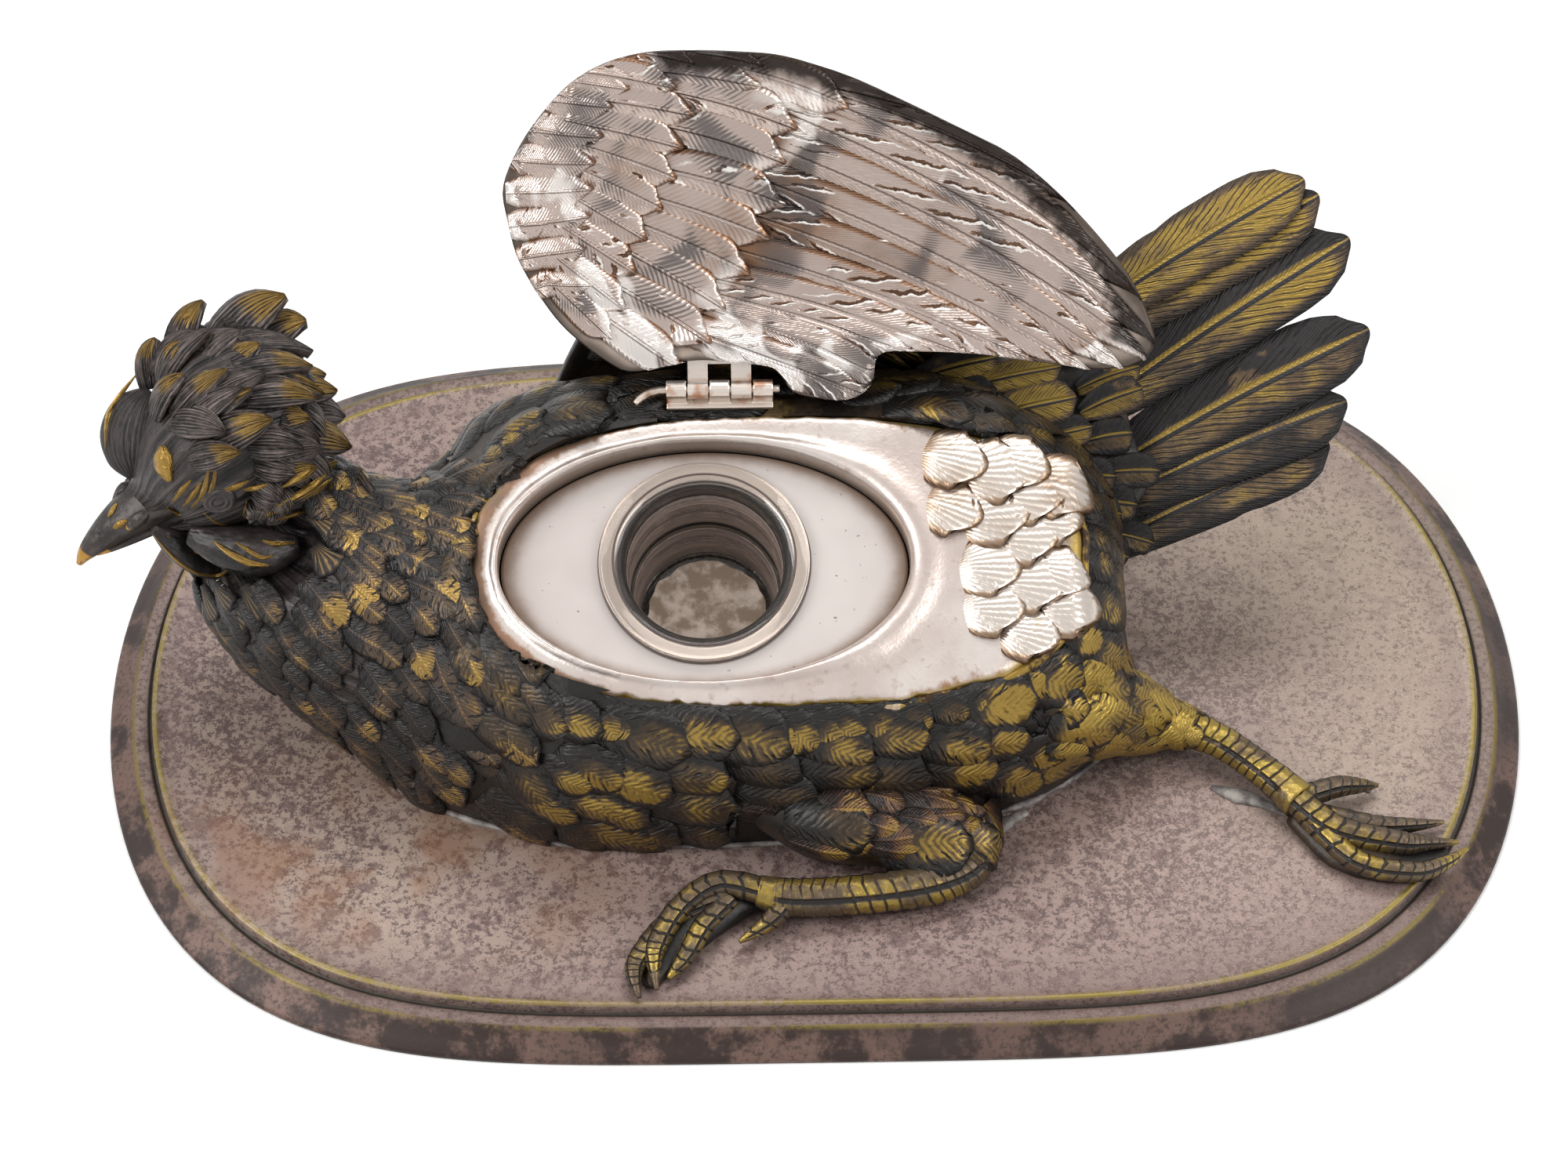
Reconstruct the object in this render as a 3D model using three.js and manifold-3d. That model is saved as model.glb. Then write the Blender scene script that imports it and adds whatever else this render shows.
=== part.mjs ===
// A figural inkwell in patinated bronze: a game bird lies on an oval base, its near wing is the
// hinged lid, and under the lid a glass liner hangs in a silvered collar. Millimetres, +Z up,
// origin at the middle of the base's underside, +X towards the tail, -Y towards the viewer.
import * as THREE from "three";
import { mergeVertices } from "three/addons/utils/BufferGeometryUtils.js";
import Module from "manifold-3d";

const wasm = await Module();
wasm.setup();

// Clearances and overruns
const SEAT_GAP = 0.3;
const PIN_CLEARANCE = 0.2;
const OVERRUN = 2;
const WELD = 0.0001;

// Base
const PLATE_HALF_LENGTH = 123.6;
const PLATE_HALF_DEPTH = 76;
const OVAL_POWER_ALONG = 4.4;
const OVAL_POWER_ACROSS = 2;
const BASE_HEIGHT = 5.9;
const LEDGE_HEIGHT = 4.2;
const LEDGE_WIDTH = 3.4;
const GROOVE_WIDTH = 0.9;
const GROOVE_DEPTH = 0.6;
const FOOT_FLARE = 4.9;
const RIM_WIDTH = 2.2;
const DISH_DEPTH = 0.5;
const BASE_SIDES = 60;
const PLATE_TOP = BASE_HEIGHT - DISH_DEPTH;

// Bird's body and neck
const BODY_LENGTH = 160;
const BODY_WIDTH = 84;
const BODY_HEIGHT = 54;
const RUMP_X = 55;
const BODY_WALL = 3.5;
const NECK_JOINT_X = -72;
const BODY_SIDES = 22;
const BODY_STEPS = 21;
const FOOT_Z = PLATE_TOP + SEAT_GAP;

// Well: the tilted frame of the collar, its tray and the glass
const WELL_X = -19.8;
const WELL_Y = -10.1;
const WELL_DROP = 11.2;
const WELL_Z = FOOT_Z + BODY_HEIGHT - WELL_DROP;
const WELL_TILT_DEG = 20;
const COLLAR_HALF_LENGTH = 54;
const COLLAR_HALF_WIDTH = 27.2;
const COLLAR_OFFSET = 13;
const COLLAR_POWER = 2.6;
const COLLAR_THICKNESS = 2;
const DECK_THICKNESS = 3;
const TRAY_HALF_LENGTH = 36.6;
const TRAY_HALF_WIDTH = 22.6;
const TRAY_DEPTH = 4.2;
const TRAY_THICKNESS = 1.2;
const SKIRT_THICKNESS = 1.2;
const LIP_WIDTH = 2;
const OVAL_SIDES = 44;

// Glass liner
const FLANGE_RADIUS = 18.8;
const FLANGE_THICKNESS = 1.8;
const FLANGE_V = 1;
const LINER_RADIUS = 15.8;
const LINER_CLEARANCE = 8.8;
const LINER_HEIGHT = WELL_Z - FOOT_Z - LINER_CLEARANCE;
const LINER_FLOOR = 2.8;
const MOUTH_RADIUS = 16.4;
const BORE_RADIUS = 14.2;
const FLOOR_RADIUS = 12.6;
const LINER_STEP = 0.8;
const LIP_ROUND = 1.6;
const HEEL_ROUND = 2;
const GLASS_SIDES = 30;

// Hinge
const HINGE_V = 32;
const HINGE_N = 2;
const KNUCKLE_RADIUS = 1.7;
const KNUCKLE_LENGTH = 3.6;
const KNUCKLE_GAP = 0.3;
const HINGE_X = -26.3;
const PIN_RADIUS = 0.7;
const PIN_TAIL = 5.3;
const PIN_HEAD = 0.5;
const LEAF_THICKNESS = 1;
const COLLAR_LEAF_REACH = 2.8;
const LID_LEAF_REACH = 9;
const TAB_MARGIN = 1.4;

// Lid, the near wing
const LID_LENGTH = 114.4;
const LID_RISE = 61;
const LID_LEFT_X = -53.4;
const LID_THICKNESS = 2.4;
const LID_DOME = 5;
const LID_REST_ELEVATION_DEG = 55;
const LID_CLOSING_DEG = 145;
const LID_RIM_GAP = 0.4;

// Far wing, raised behind the body
const REAR_WING_LENGTH = 96;
const REAR_WING_RISE = 46;
const REAR_WING_X = -50;
const REAR_WING_THICKNESS = 3;
const REAR_WING_DOME = 4;
const REAR_WING_LEAN_DEG = 84;
const REAR_WING_INSET = 5;
const REAR_WING_DROP = 15.7;
const REAR_WING_Y = BODY_WIDTH / 2 - REAR_WING_INSET;
const REAR_WING_Z = FOOT_Z + BODY_HEIGHT - REAR_WING_DROP;

// Tail
const TAIL_X = 56;
const TAIL_Y = 14;
const TAIL_DROP = 25.7;
const TAIL_Z = FOOT_Z + BODY_HEIGHT - TAIL_DROP;
const TAIL_RISE_DEG = 12;
const TAIL_ROLL_DEG = 35;
const TAIL_LENGTH = 54;
const TAIL_SPREAD = 62;
const FEATHER_HALF_WIDTH = 7.2;
const FEATHER_HALF_THICKNESS = 1.3;
const FEATHER_SHINGLE = 1.1;

// Head
const HEAD_X = -106;
const HEAD_Y = 12.4;
const HEAD_DROP = 4.7;
const HEAD_Z = FOOT_Z + BODY_HEIGHT - HEAD_DROP;
const HEAD_YAW_DEG = 206;
const HEAD_PITCH_DEG = 22;
const SKULL_RADIUS = 15;
const TUFT_HALF_WIDTH = 5.6;
const TUFT_HALF_THICKNESS = 2;

// Legs
const LEG_LENGTH = 50;
const NEAR_HIP_X = 14;
const NEAR_HIP_OUT = 3;
const NEAR_HIP_Y = -BODY_WIDTH / 2 - NEAR_HIP_OUT;
const FAR_HIP_X = 40;
const FAR_HIP_INSET = 17;
const FAR_HIP_Y = FAR_HIP_INSET - BODY_WIDTH / 2;

// Fixings under the base
const STUD_RADIUS = 2;
const STUD_TOP = 21;
const STUD_BOTTOM = 0.6;
const BOSS_RADIUS = 5;
const BAR_WIDTH = 8;
const BAR_BOTTOM = 14;
const BAR_TOP = 24;
const COUNTERBORE_RADIUS = 6;
const COUNTERBORE_DEPTH = 3.6;
const WASHER_RADIUS = 5;
const WASHER_THICKNESS = 0.6;
const NUT_RADIUS = 4;
const NUT_THICKNESS = 2;
const LEFT_STUD_X = -55;
const RIGHT_STUD_X = 34;
const STUD_Y = 2;

const degrees = THREE.MathUtils.degToRad;
const vector = (x, y, z) => new THREE.Vector3(x, y, z);

// Solids from closed geometries, and back
function solid(geometry) {
  const bare = geometry.clone();
  bare.deleteAttribute("normal");
  bare.deleteAttribute("uv");
  const merged = mergeVertices(bare, WELD);
  return new wasm.Manifold(
    new wasm.Mesh({
      numProp: 3,
      vertProperties: merged.attributes.position.array,
      triVerts: new Uint32Array(merged.index.array),
    }),
  );
}

function geometryOf(made) {
  const mesh = made.getMesh();
  const geometry = new THREE.BufferGeometry();
  geometry.setAttribute("position", new THREE.BufferAttribute(mesh.vertProperties, 3));
  geometry.setIndex(new THREE.BufferAttribute(mesh.triVerts, 1));
  geometry.computeVertexNormals();
  return geometry;
}

function joined(solids) {
  return solids.reduce((whole, next) => whole.add(next));
}

// The main piece where a cut leaves crumbs beside it
function largestPiece(made) {
  return made.decompose().reduce((most, piece) => (piece.volume() > most.volume() ? piece : most));
}

function joinedCuts(made, cuts) {
  return cuts.reduce((left, cut) => left.subtract(cut), made);
}

// A closed surface over a row of rings with as many points each, capped at both ends
function loft(rings) {
  const sides = rings[0].length;
  const points = rings.flat();
  const faces = [];
  const middle = (ring) => ring.reduce((sum, p) => sum.add(p), vector(0, 0, 0)).divideScalar(sides);
  const first = points.push(middle(rings[0])) - 1;
  const last = points.push(middle(rings[rings.length - 1])) - 1;
  for (let ring = 0; ring < rings.length - 1; ring++) {
    for (let side = 0; side < sides; side++) {
      const next = (side + 1) % sides;
      const a = ring * sides + side;
      const b = ring * sides + next;
      faces.push(a, b, b + sides, a, b + sides, a + sides);
    }
  }
  const top = (rings.length - 1) * sides;
  for (let side = 0; side < sides; side++) {
    const next = (side + 1) % sides;
    faces.push(first, next, side);
    faces.push(last, top + side, top + next);
  }
  return outward(new THREE.BufferGeometry().setFromPoints(points).setIndex(faces));
}

// Turns a closed geometry's faces round if they point inwards
function outward(geometry) {
  const position = geometry.attributes.position;
  const index = geometry.index.array;
  const corner = (k) => new THREE.Vector3().fromBufferAttribute(position, index[k]);
  let volume = 0;
  for (let k = 0; k < index.length; k += 3) {
    volume += corner(k).dot(corner(k + 1).cross(corner(k + 2)));
  }
  if (volume < 0) {
    for (let k = 0; k < index.length; k += 3) {
      const kept = index[k];
      index[k] = index[k + 1];
      index[k + 1] = kept;
    }
  }
  return geometry;
}

// Rows of numbers read as a smooth Catmull-Rom curve, at a share from 0 to 1
function along(rows, share) {
  const place = share * (rows.length - 1);
  const i = Math.min(Math.floor(place), rows.length - 2);
  const t = place - i;
  const before = rows[Math.max(i - 1, 0)];
  const after = rows[Math.min(i + 2, rows.length - 1)];
  return rows[i].map((start, k) => {
    const end = rows[i + 1][k];
    const slopeIn = (end - before[k]) / 2;
    const slopeOut = (after[k] - start) / 2;
    const bend = 3 * (end - start) - 2 * slopeIn - slopeOut;
    const turn = 2 * (start - end) + slopeIn + slopeOut;
    return start + t * (slopeIn + t * (bend + t * turn));
  });
}

// A solid swept along rows of x, y, z, half width and half height, with superelliptic sections
function sweep(rows, { sides = 12, steps = 12, power = 2, up = vector(0, 0, 1) } = {}) {
  const rings = [];
  for (let step = 0; step <= steps; step++) {
    const [x, y, z, width, height] = along(rows, step / steps);
    const from = along(rows, Math.max(step - 1, 0) / steps);
    const to = along(rows, Math.min(step + 1, steps) / steps);
    const ahead = vector(to[0] - from[0], to[1] - from[1], to[2] - from[2]).normalize();
    const side = up.clone().cross(ahead).normalize();
    const rise = ahead.clone().cross(side);
    rings.push(oval(width, height, power, power, sides).map((p) =>
      vector(x, y, z).addScaledVector(side, p.x).addScaledVector(rise, p.y)));
  }
  return loft(rings);
}

// Points of |x/a|^p + |y/b|^q = 1, one for each equal angle
function oval(a, b, p, q, sides) {
  const points = [];
  for (let side = 0; side < sides; side++) {
    const angle = (2 * Math.PI * side) / sides;
    const x = Math.cos(angle) / a;
    const y = Math.sin(angle) / b;
    let inner = 0;
    let outer = 2 * (a + b);
    for (let halving = 0; halving < 50; halving++) {
      const radius = (inner + outer) / 2;
      const level = Math.abs(radius * x) ** p + Math.abs(radius * y) ** q;
      if (level < 1) inner = radius;
      else outer = radius;
    }
    points.push(new THREE.Vector2(Math.cos(angle) * inner, Math.sin(angle) * inner));
  }
  return points;
}

// An outline extruded from one height to another
function prism(points, low, high) {
  const geometry = new THREE.ExtrudeGeometry(new THREE.Shape(points), {
    depth: high - low,
    bevelEnabled: false,
  });
  return geometry.translate(0, 0, low);
}

function box(low, high) {
  const size = high.clone().sub(low);
  const middle = high.clone().add(low).multiplyScalar(0.5);
  return new THREE.BoxGeometry(size.x, size.y, size.z).translate(middle.x, middle.y, middle.z);
}

function uprightRod(radius, x, y, low, high, sides = 24) {
  const rod = new THREE.CylinderGeometry(radius, radius, high - low, sides);
  return rod.rotateX(Math.PI / 2).translate(x, y, (low + high) / 2);
}

function crosswiseRod(radius, left, right, sides = 16) {
  const rod = new THREE.CylinderGeometry(radius, radius, right - left, sides);
  return rod.rotateZ(Math.PI / 2).translate((left + right) / 2, 0, 0);
}

// Frames: the tilted well, and the lid's hinge line inside it
const figure = new THREE.Group();
const well = new THREE.Group();
well.position.set(WELL_X, WELL_Y, WELL_Z);
well.rotation.x = degrees(WELL_TILT_DEG);
figure.add(well);
const hinge = new THREE.Group();
hinge.position.set(0, HINGE_V, HINGE_N);
hinge.rotation.x = degrees(LID_REST_ELEVATION_DEG - WELL_TILT_DEG);
well.add(hinge);
figure.updateMatrixWorld(true);

function addMesh(parent, name, made, colour, metalness, roughness) {
  const material = new THREE.MeshStandardMaterial({ color: colour, metalness, roughness });
  const geometry = made.isBufferGeometry ? made : geometryOf(made);
  const mesh = new THREE.Mesh(geometry, material);
  mesh.name = name;
  parent.add(mesh);
}

const bronze = [0x4a4030, 0.9, 0.5];
const baseFinish = [0x8f7d77, 0.6, 0.65];
const silver = [0xd8cfc6, 1, 0.25];
const steel = [0xb9b4ac, 1, 0.35];
const glass = [0xdde4e2, 0, 0.05];

// Base: an oval loft from the flared foot over ledge, groove and rim to the dished plate
function basePlinth() {
  const rimFoot = LEDGE_HEIGHT - GROOVE_DEPTH;
  const profile = [
    [LEDGE_WIDTH + FOOT_FLARE, 0],
    [LEDGE_WIDTH + FOOT_FLARE, GROOVE_DEPTH],
    [LEDGE_WIDTH, LEDGE_HEIGHT],
    [GROOVE_WIDTH, LEDGE_HEIGHT],
    [GROOVE_WIDTH / 2, rimFoot],
    [0, rimFoot],
    [0, BASE_HEIGHT - DISH_DEPTH / 2],
    [-DISH_DEPTH, BASE_HEIGHT],
    [-RIM_WIDTH, PLATE_TOP],
  ];
  const rings = profile.map(([offset, z]) =>
    oval(PLATE_HALF_LENGTH + offset, PLATE_HALF_DEPTH + offset, OVAL_POWER_ALONG,
      OVAL_POWER_ACROSS, BASE_SIDES).map((p) => vector(p.x, p.y, z)));
  let plinth = solid(loft(rings));
  for (const x of [LEFT_STUD_X, RIGHT_STUD_X]) {
    plinth = plinth
      .subtract(solid(uprightRod(STUD_RADIUS + SEAT_GAP, x, STUD_Y, -OVERRUN, BASE_HEIGHT + OVERRUN)))
      .subtract(solid(uprightRod(COUNTERBORE_RADIUS, x, STUD_Y, -OVERRUN, COUNTERBORE_DEPTH)));
  }
  return plinth;
}

// Bird's skin from the rump to the head: shares of the body's length, width and height for each
// station's place along, across and above the foot, then its half width and half height
const bodyStationShares = [
  [0, 0.075, 0.24, 0.22, 0.28],
  [0.008, 0.075, 0.24, 0.29, 0.43],
  [0.035, 0.07, 0.235, 0.35, 0.55],
  [0.09, 0.06, 0.226, 0.42, 0.67],
  [0.1875, 0.042, 0.217, 0.49, 0.78],
  [0.3125, 0.03, 0.207, 0.515, 0.79],
  [0.469, 0.024, 0.207, 0.525, 0.796],
  [0.6125, 0.012, 0.226, 0.51, 0.778],
  [0.694, 0, 0.25, 0.475, 0.713],
  [0.756, -0.02, 0.3, 0.41, 0.611],
  [0.806, -0.025, 0.356, 0.33, 0.5],
  [0.856, -0.02, 0.42, 0.268, 0.426],
  [0.9125, 0.02, 0.504, 0.238, 0.38],
  [0.956, 0.07, 0.633, 0.208, 0.324],
  [0.98, 0.119, 0.781, 0.173, 0.269],
];
const bodyPowerShare = 2.3;

function birdSkin(grown) {
  const rows = bodyStationShares.map(([length, across, above, width, height]) => [
    RUMP_X + grown - length * (BODY_LENGTH + grown),
    across * BODY_WIDTH,
    FOOT_Z + above * BODY_HEIGHT,
    Math.max(width * BODY_WIDTH + grown, SEAT_GAP),
    Math.max(height * BODY_HEIGHT + grown, SEAT_GAP),
  ]);
  return solid(sweep(rows, { sides: BODY_SIDES, steps: BODY_STEPS, power: bodyPowerShare }));
}

const FAR = 2 * BODY_LENGTH;
const aboveFoot = solid(box(vector(-FAR, -FAR, FOOT_Z), vector(FAR, FAR, FAR)));
const skin = birdSkin(0).intersect(aboveFoot);
const skinClearance = birdSkin(SEAT_GAP).intersect(
  solid(box(vector(-FAR, -FAR, FOOT_Z - OVERRUN), vector(FAR, FAR, FAR))));

// Outline of the collar in the well's frame, with room around it or taken off it
function collarOutline(grown) {
  return oval(COLLAR_HALF_LENGTH + grown, COLLAR_HALF_WIDTH + grown, COLLAR_POWER, COLLAR_POWER,
    OVAL_SIDES).map((p) => new THREE.Vector2(p.x + COLLAR_OFFSET, p.y));
}

const leafSpan = 5 * KNUCKLE_LENGTH + 4 * KNUCKLE_GAP;
const leafLeft = HINGE_X - WELL_X;
const leafRight = leafLeft + leafSpan;
const leafEdge = HINGE_V + KNUCKLE_RADIUS;

function hingeTab(grown, low, high) {
  return solid(box(
    vector(leafLeft - TAB_MARGIN - grown, 0, low),
    vector(leafRight + TAB_MARGIN + grown, leafEdge + grown, high)));
}

function inWell(geometry) {
  return solid(geometry.applyMatrix4(well.matrixWorld));
}

// Room for the closed lid: its shell with a gap all round, turned down about the hinge line
function closedLidRoom() {
  const shut = hinge.matrixWorld.clone()
    .multiply(new THREE.Matrix4().makeRotationX(degrees(LID_CLOSING_DEG)));
  return solid(lidShell(LID_THICKNESS + 2 * SEAT_GAP, SEAT_GAP, SEAT_GAP).applyMatrix4(shut));
}

function birdBody() {
  const deckTop = -COLLAR_THICKNESS - SEAT_GAP;
  const neckEnd = solid(box(vector(NECK_JOINT_X, -FAR, -FAR), vector(FAR, FAR, FAR)));
  const insideEnds = solid(box(vector(NECK_JOINT_X + BODY_WALL, -FAR, -FAR), vector(FAR, FAR, FAR)));
  const belowDeck = inWell(box(vector(-FAR, -FAR, -FAR), vector(FAR, FAR, deckTop - DECK_THICKNESS)));
  const hollow = birdSkin(-BODY_WALL).intersect(insideEnds).intersect(belowDeck);
  const bars = [LEFT_STUD_X, RIGHT_STUD_X].map((x) => joined([
    solid(box(vector(x - BAR_WIDTH / 2, -FAR, BAR_BOTTOM), vector(x + BAR_WIDTH / 2, FAR, BAR_TOP))),
    solid(uprightRod(BOSS_RADIUS, x, STUD_Y, FOOT_Z, BAR_TOP)),
  ]));
  const seatCut = joined([
    inWell(prism(collarOutline(SEAT_GAP), deckTop, BODY_HEIGHT)),
    inWell(geometryOf(hingeTab(SEAT_GAP, deckTop, BODY_HEIGHT))),
  ]);
  const mouth = inWell(prism(oval(TRAY_HALF_LENGTH + SKIRT_THICKNESS + SEAT_GAP,
    TRAY_HALF_WIDTH + SKIRT_THICKNESS + SEAT_GAP, 2, 2, OVAL_SIDES),
    deckTop - DECK_THICKNESS - OVERRUN, BODY_HEIGHT));
  let body = skin.intersect(neckEnd).subtract(hollow).add(joined(bars).intersect(skin));
  body = body.subtract(seatCut).subtract(mouth).subtract(closedLidRoom());
  for (const x of [LEFT_STUD_X, RIGHT_STUD_X]) {
    body = body.subtract(solid(uprightRod(STUD_RADIUS + SEAT_GAP, x, STUD_Y, -OVERRUN,
      STUD_TOP + SEAT_GAP)));
  }
  return body;
}

// Collar: a flat silvered plate with an oval mouth, a skirt round the tray and a lip under it
const trayBottom = -TRAY_DEPTH - TRAY_THICKNESS;
const lipTop = trayBottom - SEAT_GAP;
const skirtBottom = lipTop - SKIRT_THICKNESS;

function trayOval(grown, low, high) {
  const outline = oval(TRAY_HALF_LENGTH + grown, TRAY_HALF_WIDTH + grown, 2, 2, OVAL_SIDES);
  return solid(prism(outline, low, high));
}

function leafPlate(grown) {
  return solid(box(
    vector(leafLeft - grown, HINGE_V - COLLAR_LEAF_REACH - grown, -LEAF_THICKNESS - grown),
    vector(leafRight + grown, leafEdge + grown, grown)));
}

function wellCollar() {
  return solid(prism(collarOutline(0), -COLLAR_THICKNESS, 0))
    .add(hingeTab(0, -COLLAR_THICKNESS, 0))
    .add(trayOval(SKIRT_THICKNESS, skirtBottom, -COLLAR_THICKNESS / 2))
    .subtract(trayOval(0, lipTop, OVERRUN))
    .subtract(trayOval(-LIP_WIDTH, skirtBottom - OVERRUN, 0))
    .subtract(leafPlate(SEAT_GAP));
}

function trayPlate() {
  const hole = uprightRod(LINER_RADIUS + SEAT_GAP, 0, FLANGE_V, trayBottom - OVERRUN, 0, GLASS_SIDES);
  return trayOval(-SEAT_GAP, trayBottom, -TRAY_DEPTH).subtract(solid(hole));
}

// Liner: turned profile from the heel up the outside, over the flange and down the bore
function glassLiner() {
  const heel = FLANGE_THICKNESS - LINER_HEIGHT;
  const floor = heel + LINER_FLOOR;
  const soften = FLANGE_THICKNESS / 4;
  const profile = [
    [0, heel],
    [LINER_RADIUS - HEEL_ROUND, heel],
    [LINER_RADIUS - HEEL_ROUND / 3, heel + HEEL_ROUND / 3],
    [LINER_RADIUS, heel + HEEL_ROUND],
    [LINER_RADIUS, 0],
    [FLANGE_RADIUS - soften, 0],
    [FLANGE_RADIUS, soften],
    [FLANGE_RADIUS, FLANGE_THICKNESS - soften],
    [FLANGE_RADIUS - soften, FLANGE_THICKNESS],
    [MOUTH_RADIUS, FLANGE_THICKNESS],
    [BORE_RADIUS + LIP_ROUND / 3, FLANGE_THICKNESS - LIP_ROUND / 3],
    [BORE_RADIUS, FLANGE_THICKNESS - LIP_ROUND],
    [BORE_RADIUS, heel / 2],
    [BORE_RADIUS - LINER_STEP, heel / 2 - LINER_STEP],
    [FLOOR_RADIUS, floor + HEEL_ROUND],
    [FLOOR_RADIUS - HEEL_ROUND, floor],
    [0, floor],
  ];
  const turned = new THREE.LatheGeometry(
    profile.map(([radius, height]) => new THREE.Vector2(radius, height)), GLASS_SIDES);
  return solid(turned.rotateX(Math.PI / 2));
}

// Hinge: knuckles counted from the left, the collar's at 0, 2 and 4, the lid's at 1 and 3
function knuckleSpan(number) {
  const left = leafLeft + number * (KNUCKLE_LENGTH + KNUCKLE_GAP);
  return [left, left + KNUCKLE_LENGTH];
}

const pinBore = () => solid(crosswiseRod(PIN_RADIUS + PIN_CLEARANCE, leafLeft - OVERRUN,
  leafRight + OVERRUN));

function collarLeaf() {
  const barrels = [0, 2, 4].map((number) => {
    const [left, right] = knuckleSpan(number);
    return solid(crosswiseRod(KNUCKLE_RADIUS, left, right)).add(solid(box(
      vector(left, -KNUCKLE_RADIUS, -HINGE_N - LEAF_THICKNESS),
      vector(right, KNUCKLE_RADIUS, 0))));
  });
  const onHinge = joined(barrels).subtract(pinBore());
  return solid(geometryOf(onHinge).translate(0, HINGE_V, HINGE_N)).add(leafPlate(0));
}

function lidLeafSolid(grown) {
  const straps = [1, 3].map((number) => {
    const [left, right] = knuckleSpan(number);
    return solid(box(
      vector(left - grown, 0, -KNUCKLE_RADIUS - grown),
      vector(right + grown, LID_LEAF_REACH + grown, LEAF_THICKNESS - KNUCKLE_RADIUS + grown)));
  });
  const [, firstRight] = knuckleSpan(0);
  const [lastLeft] = knuckleSpan(4);
  const bridge = solid(box(
    vector(firstRight + KNUCKLE_GAP - grown, LID_LEAF_REACH / 2 - grown, -KNUCKLE_RADIUS - grown),
    vector(lastLeft - KNUCKLE_GAP + grown, LID_LEAF_REACH + grown,
      LEAF_THICKNESS - KNUCKLE_RADIUS + grown)));
  return joined([...straps, bridge]);
}

function lidLeaf() {
  const barrels = [1, 3].map((number) => solid(crosswiseRod(KNUCKLE_RADIUS, ...knuckleSpan(number))));
  return joined([...barrels, lidLeafSolid(0)]).subtract(pinBore());
}

function hingePin() {
  return crosswiseRod(PIN_RADIUS, leafLeft - PIN_TAIL, leafRight + PIN_HEAD);
}

// Outline whose notches are eased away by averaging each point with its neighbours
function eased(outline, passes) {
  let points = outline;
  for (let pass = 0; pass < passes; pass++) {
    points = points.map((p, k) => p.clone()
      .add(points[(k + 1) % points.length])
      .add(points[(k + points.length - 1) % points.length])
      .divideScalar(3));
  }
  return points;
}

// A domed shell over an outline: rings drawn in towards its middle, each smoother than the last.
// The rim lies at the given height and the dome falls below it.
function domedShell(outline, middle, rim, dome, thickness) {
  const ringShares = [1, 0.88, 0.66, 0.36, 0.08];
  const rings = ringShares.map((share, number) => eased(outline, number * number).map((p) =>
    vector(
      middle.x + share * (p.x - middle.x),
      middle.y + share * (p.y - middle.y),
      rim - dome * (1 - share * share))));
  const lowered = rings.map((ring) => ring.map((p) => p.clone().add(vector(0, 0, -thickness))));
  return loft([...rings.reverse(), ...lowered]);
}

// Outline of the near wing: shares of its length from the shoulder, and of its rise from the hinge
const lidOutlineShares = [
  [-0.003, 0.5], [-0.01, 0.6], [0.01, 0.7], [0.045, 0.8], [0.095, 0.9], [0.15, 0.96],
  [0.21, 0.99], [0.28, 0.996], [0.36, 0.99], [0.43, 0.975], [0.525, 0.918], [0.62, 0.835],
  [0.705, 0.755], [0.78, 0.68], [0.85, 0.57], [0.91, 0.45], [0.96, 0.33], [0.992, 0.21],
  [1.003, 0.12], [0.972, 0.06], [0.9, 0.05], [0.815, 0.075], [0.73, 0.1], [0.64, 0.11],
  [0.572, 0.105], [0.56, 0.02], [0.53, -0.027], [0.485, -0.03], [0.434, -0.005],
  [0.41, 0.065], [0.34, 0.085], [0.275, 0.09], [0.19, 0.06], [0.15, 0.085], [0.08, 0.19],
  [0.034, 0.31], [0.008, 0.41],
];
const lidMiddleShares = [0.42, 0.46];

function lidShell(thickness, raised = 0, grown = 0) {
  const place = ([length, rise]) => new THREE.Vector2(
    LID_LEFT_X - WELL_X + length * LID_LENGTH, rise * LID_RISE);
  const middle = place(lidMiddleShares);
  const outline = lidOutlineShares.map((shares) => {
    const reach = place(shares).sub(middle);
    return reach.setLength(reach.length() + grown).add(middle);
  });
  return domedShell(outline, middle, HINGE_N - LID_RIM_GAP + raised, LID_DOME, thickness);
}

function lidWing() {
  const barrelRoom = crosswiseRod(KNUCKLE_RADIUS + SEAT_GAP, leafLeft - PIN_TAIL - SEAT_GAP,
    leafRight + PIN_HEAD + SEAT_GAP);
  const shell = solid(lidShell(LID_THICKNESS)).subtract(lidLeafSolid(SEAT_GAP));
  return largestPiece(shell.subtract(solid(barrelRoom)));
}

// Far wing: outline in shares of its length and rise, the root sunk in the body
const rearWingShares = [
  [0, -0.3], [0.03, 0], [0.09, 0.3], [0.15, 0.6], [0.25, 0.85], [0.4, 1.02], [0.55, 1.05],
  [0.7, 0.95], [0.82, 0.72], [0.87, 0.45], [0.86, 0.2], [0.835, -0.1], [0.8, -0.3], [0.5, -0.35],
];
const rearWingMiddleShares = [0.45, 0.4];

function rearWing() {
  const frame = new THREE.Matrix4().makeRotationX(degrees(REAR_WING_LEAN_DEG));
  frame.setPosition(REAR_WING_X, REAR_WING_Y, REAR_WING_Z);
  const place = ([length, rise]) => new THREE.Vector2(length * REAR_WING_LENGTH,
    rise * REAR_WING_RISE);
  const shell = domedShell(rearWingShares.map(place), place(rearWingMiddleShares), 0,
    REAR_WING_DOME, REAR_WING_THICKNESS).applyMatrix4(frame);
  const openLid = lidShell(FAR + LID_THICKNESS + SEAT_GAP, FAR).applyMatrix4(hinge.matrixWorld);
  return joinedCuts(solid(shell), [skinClearance, tailSolid(SEAT_GAP), solid(openLid)]);
}

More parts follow.
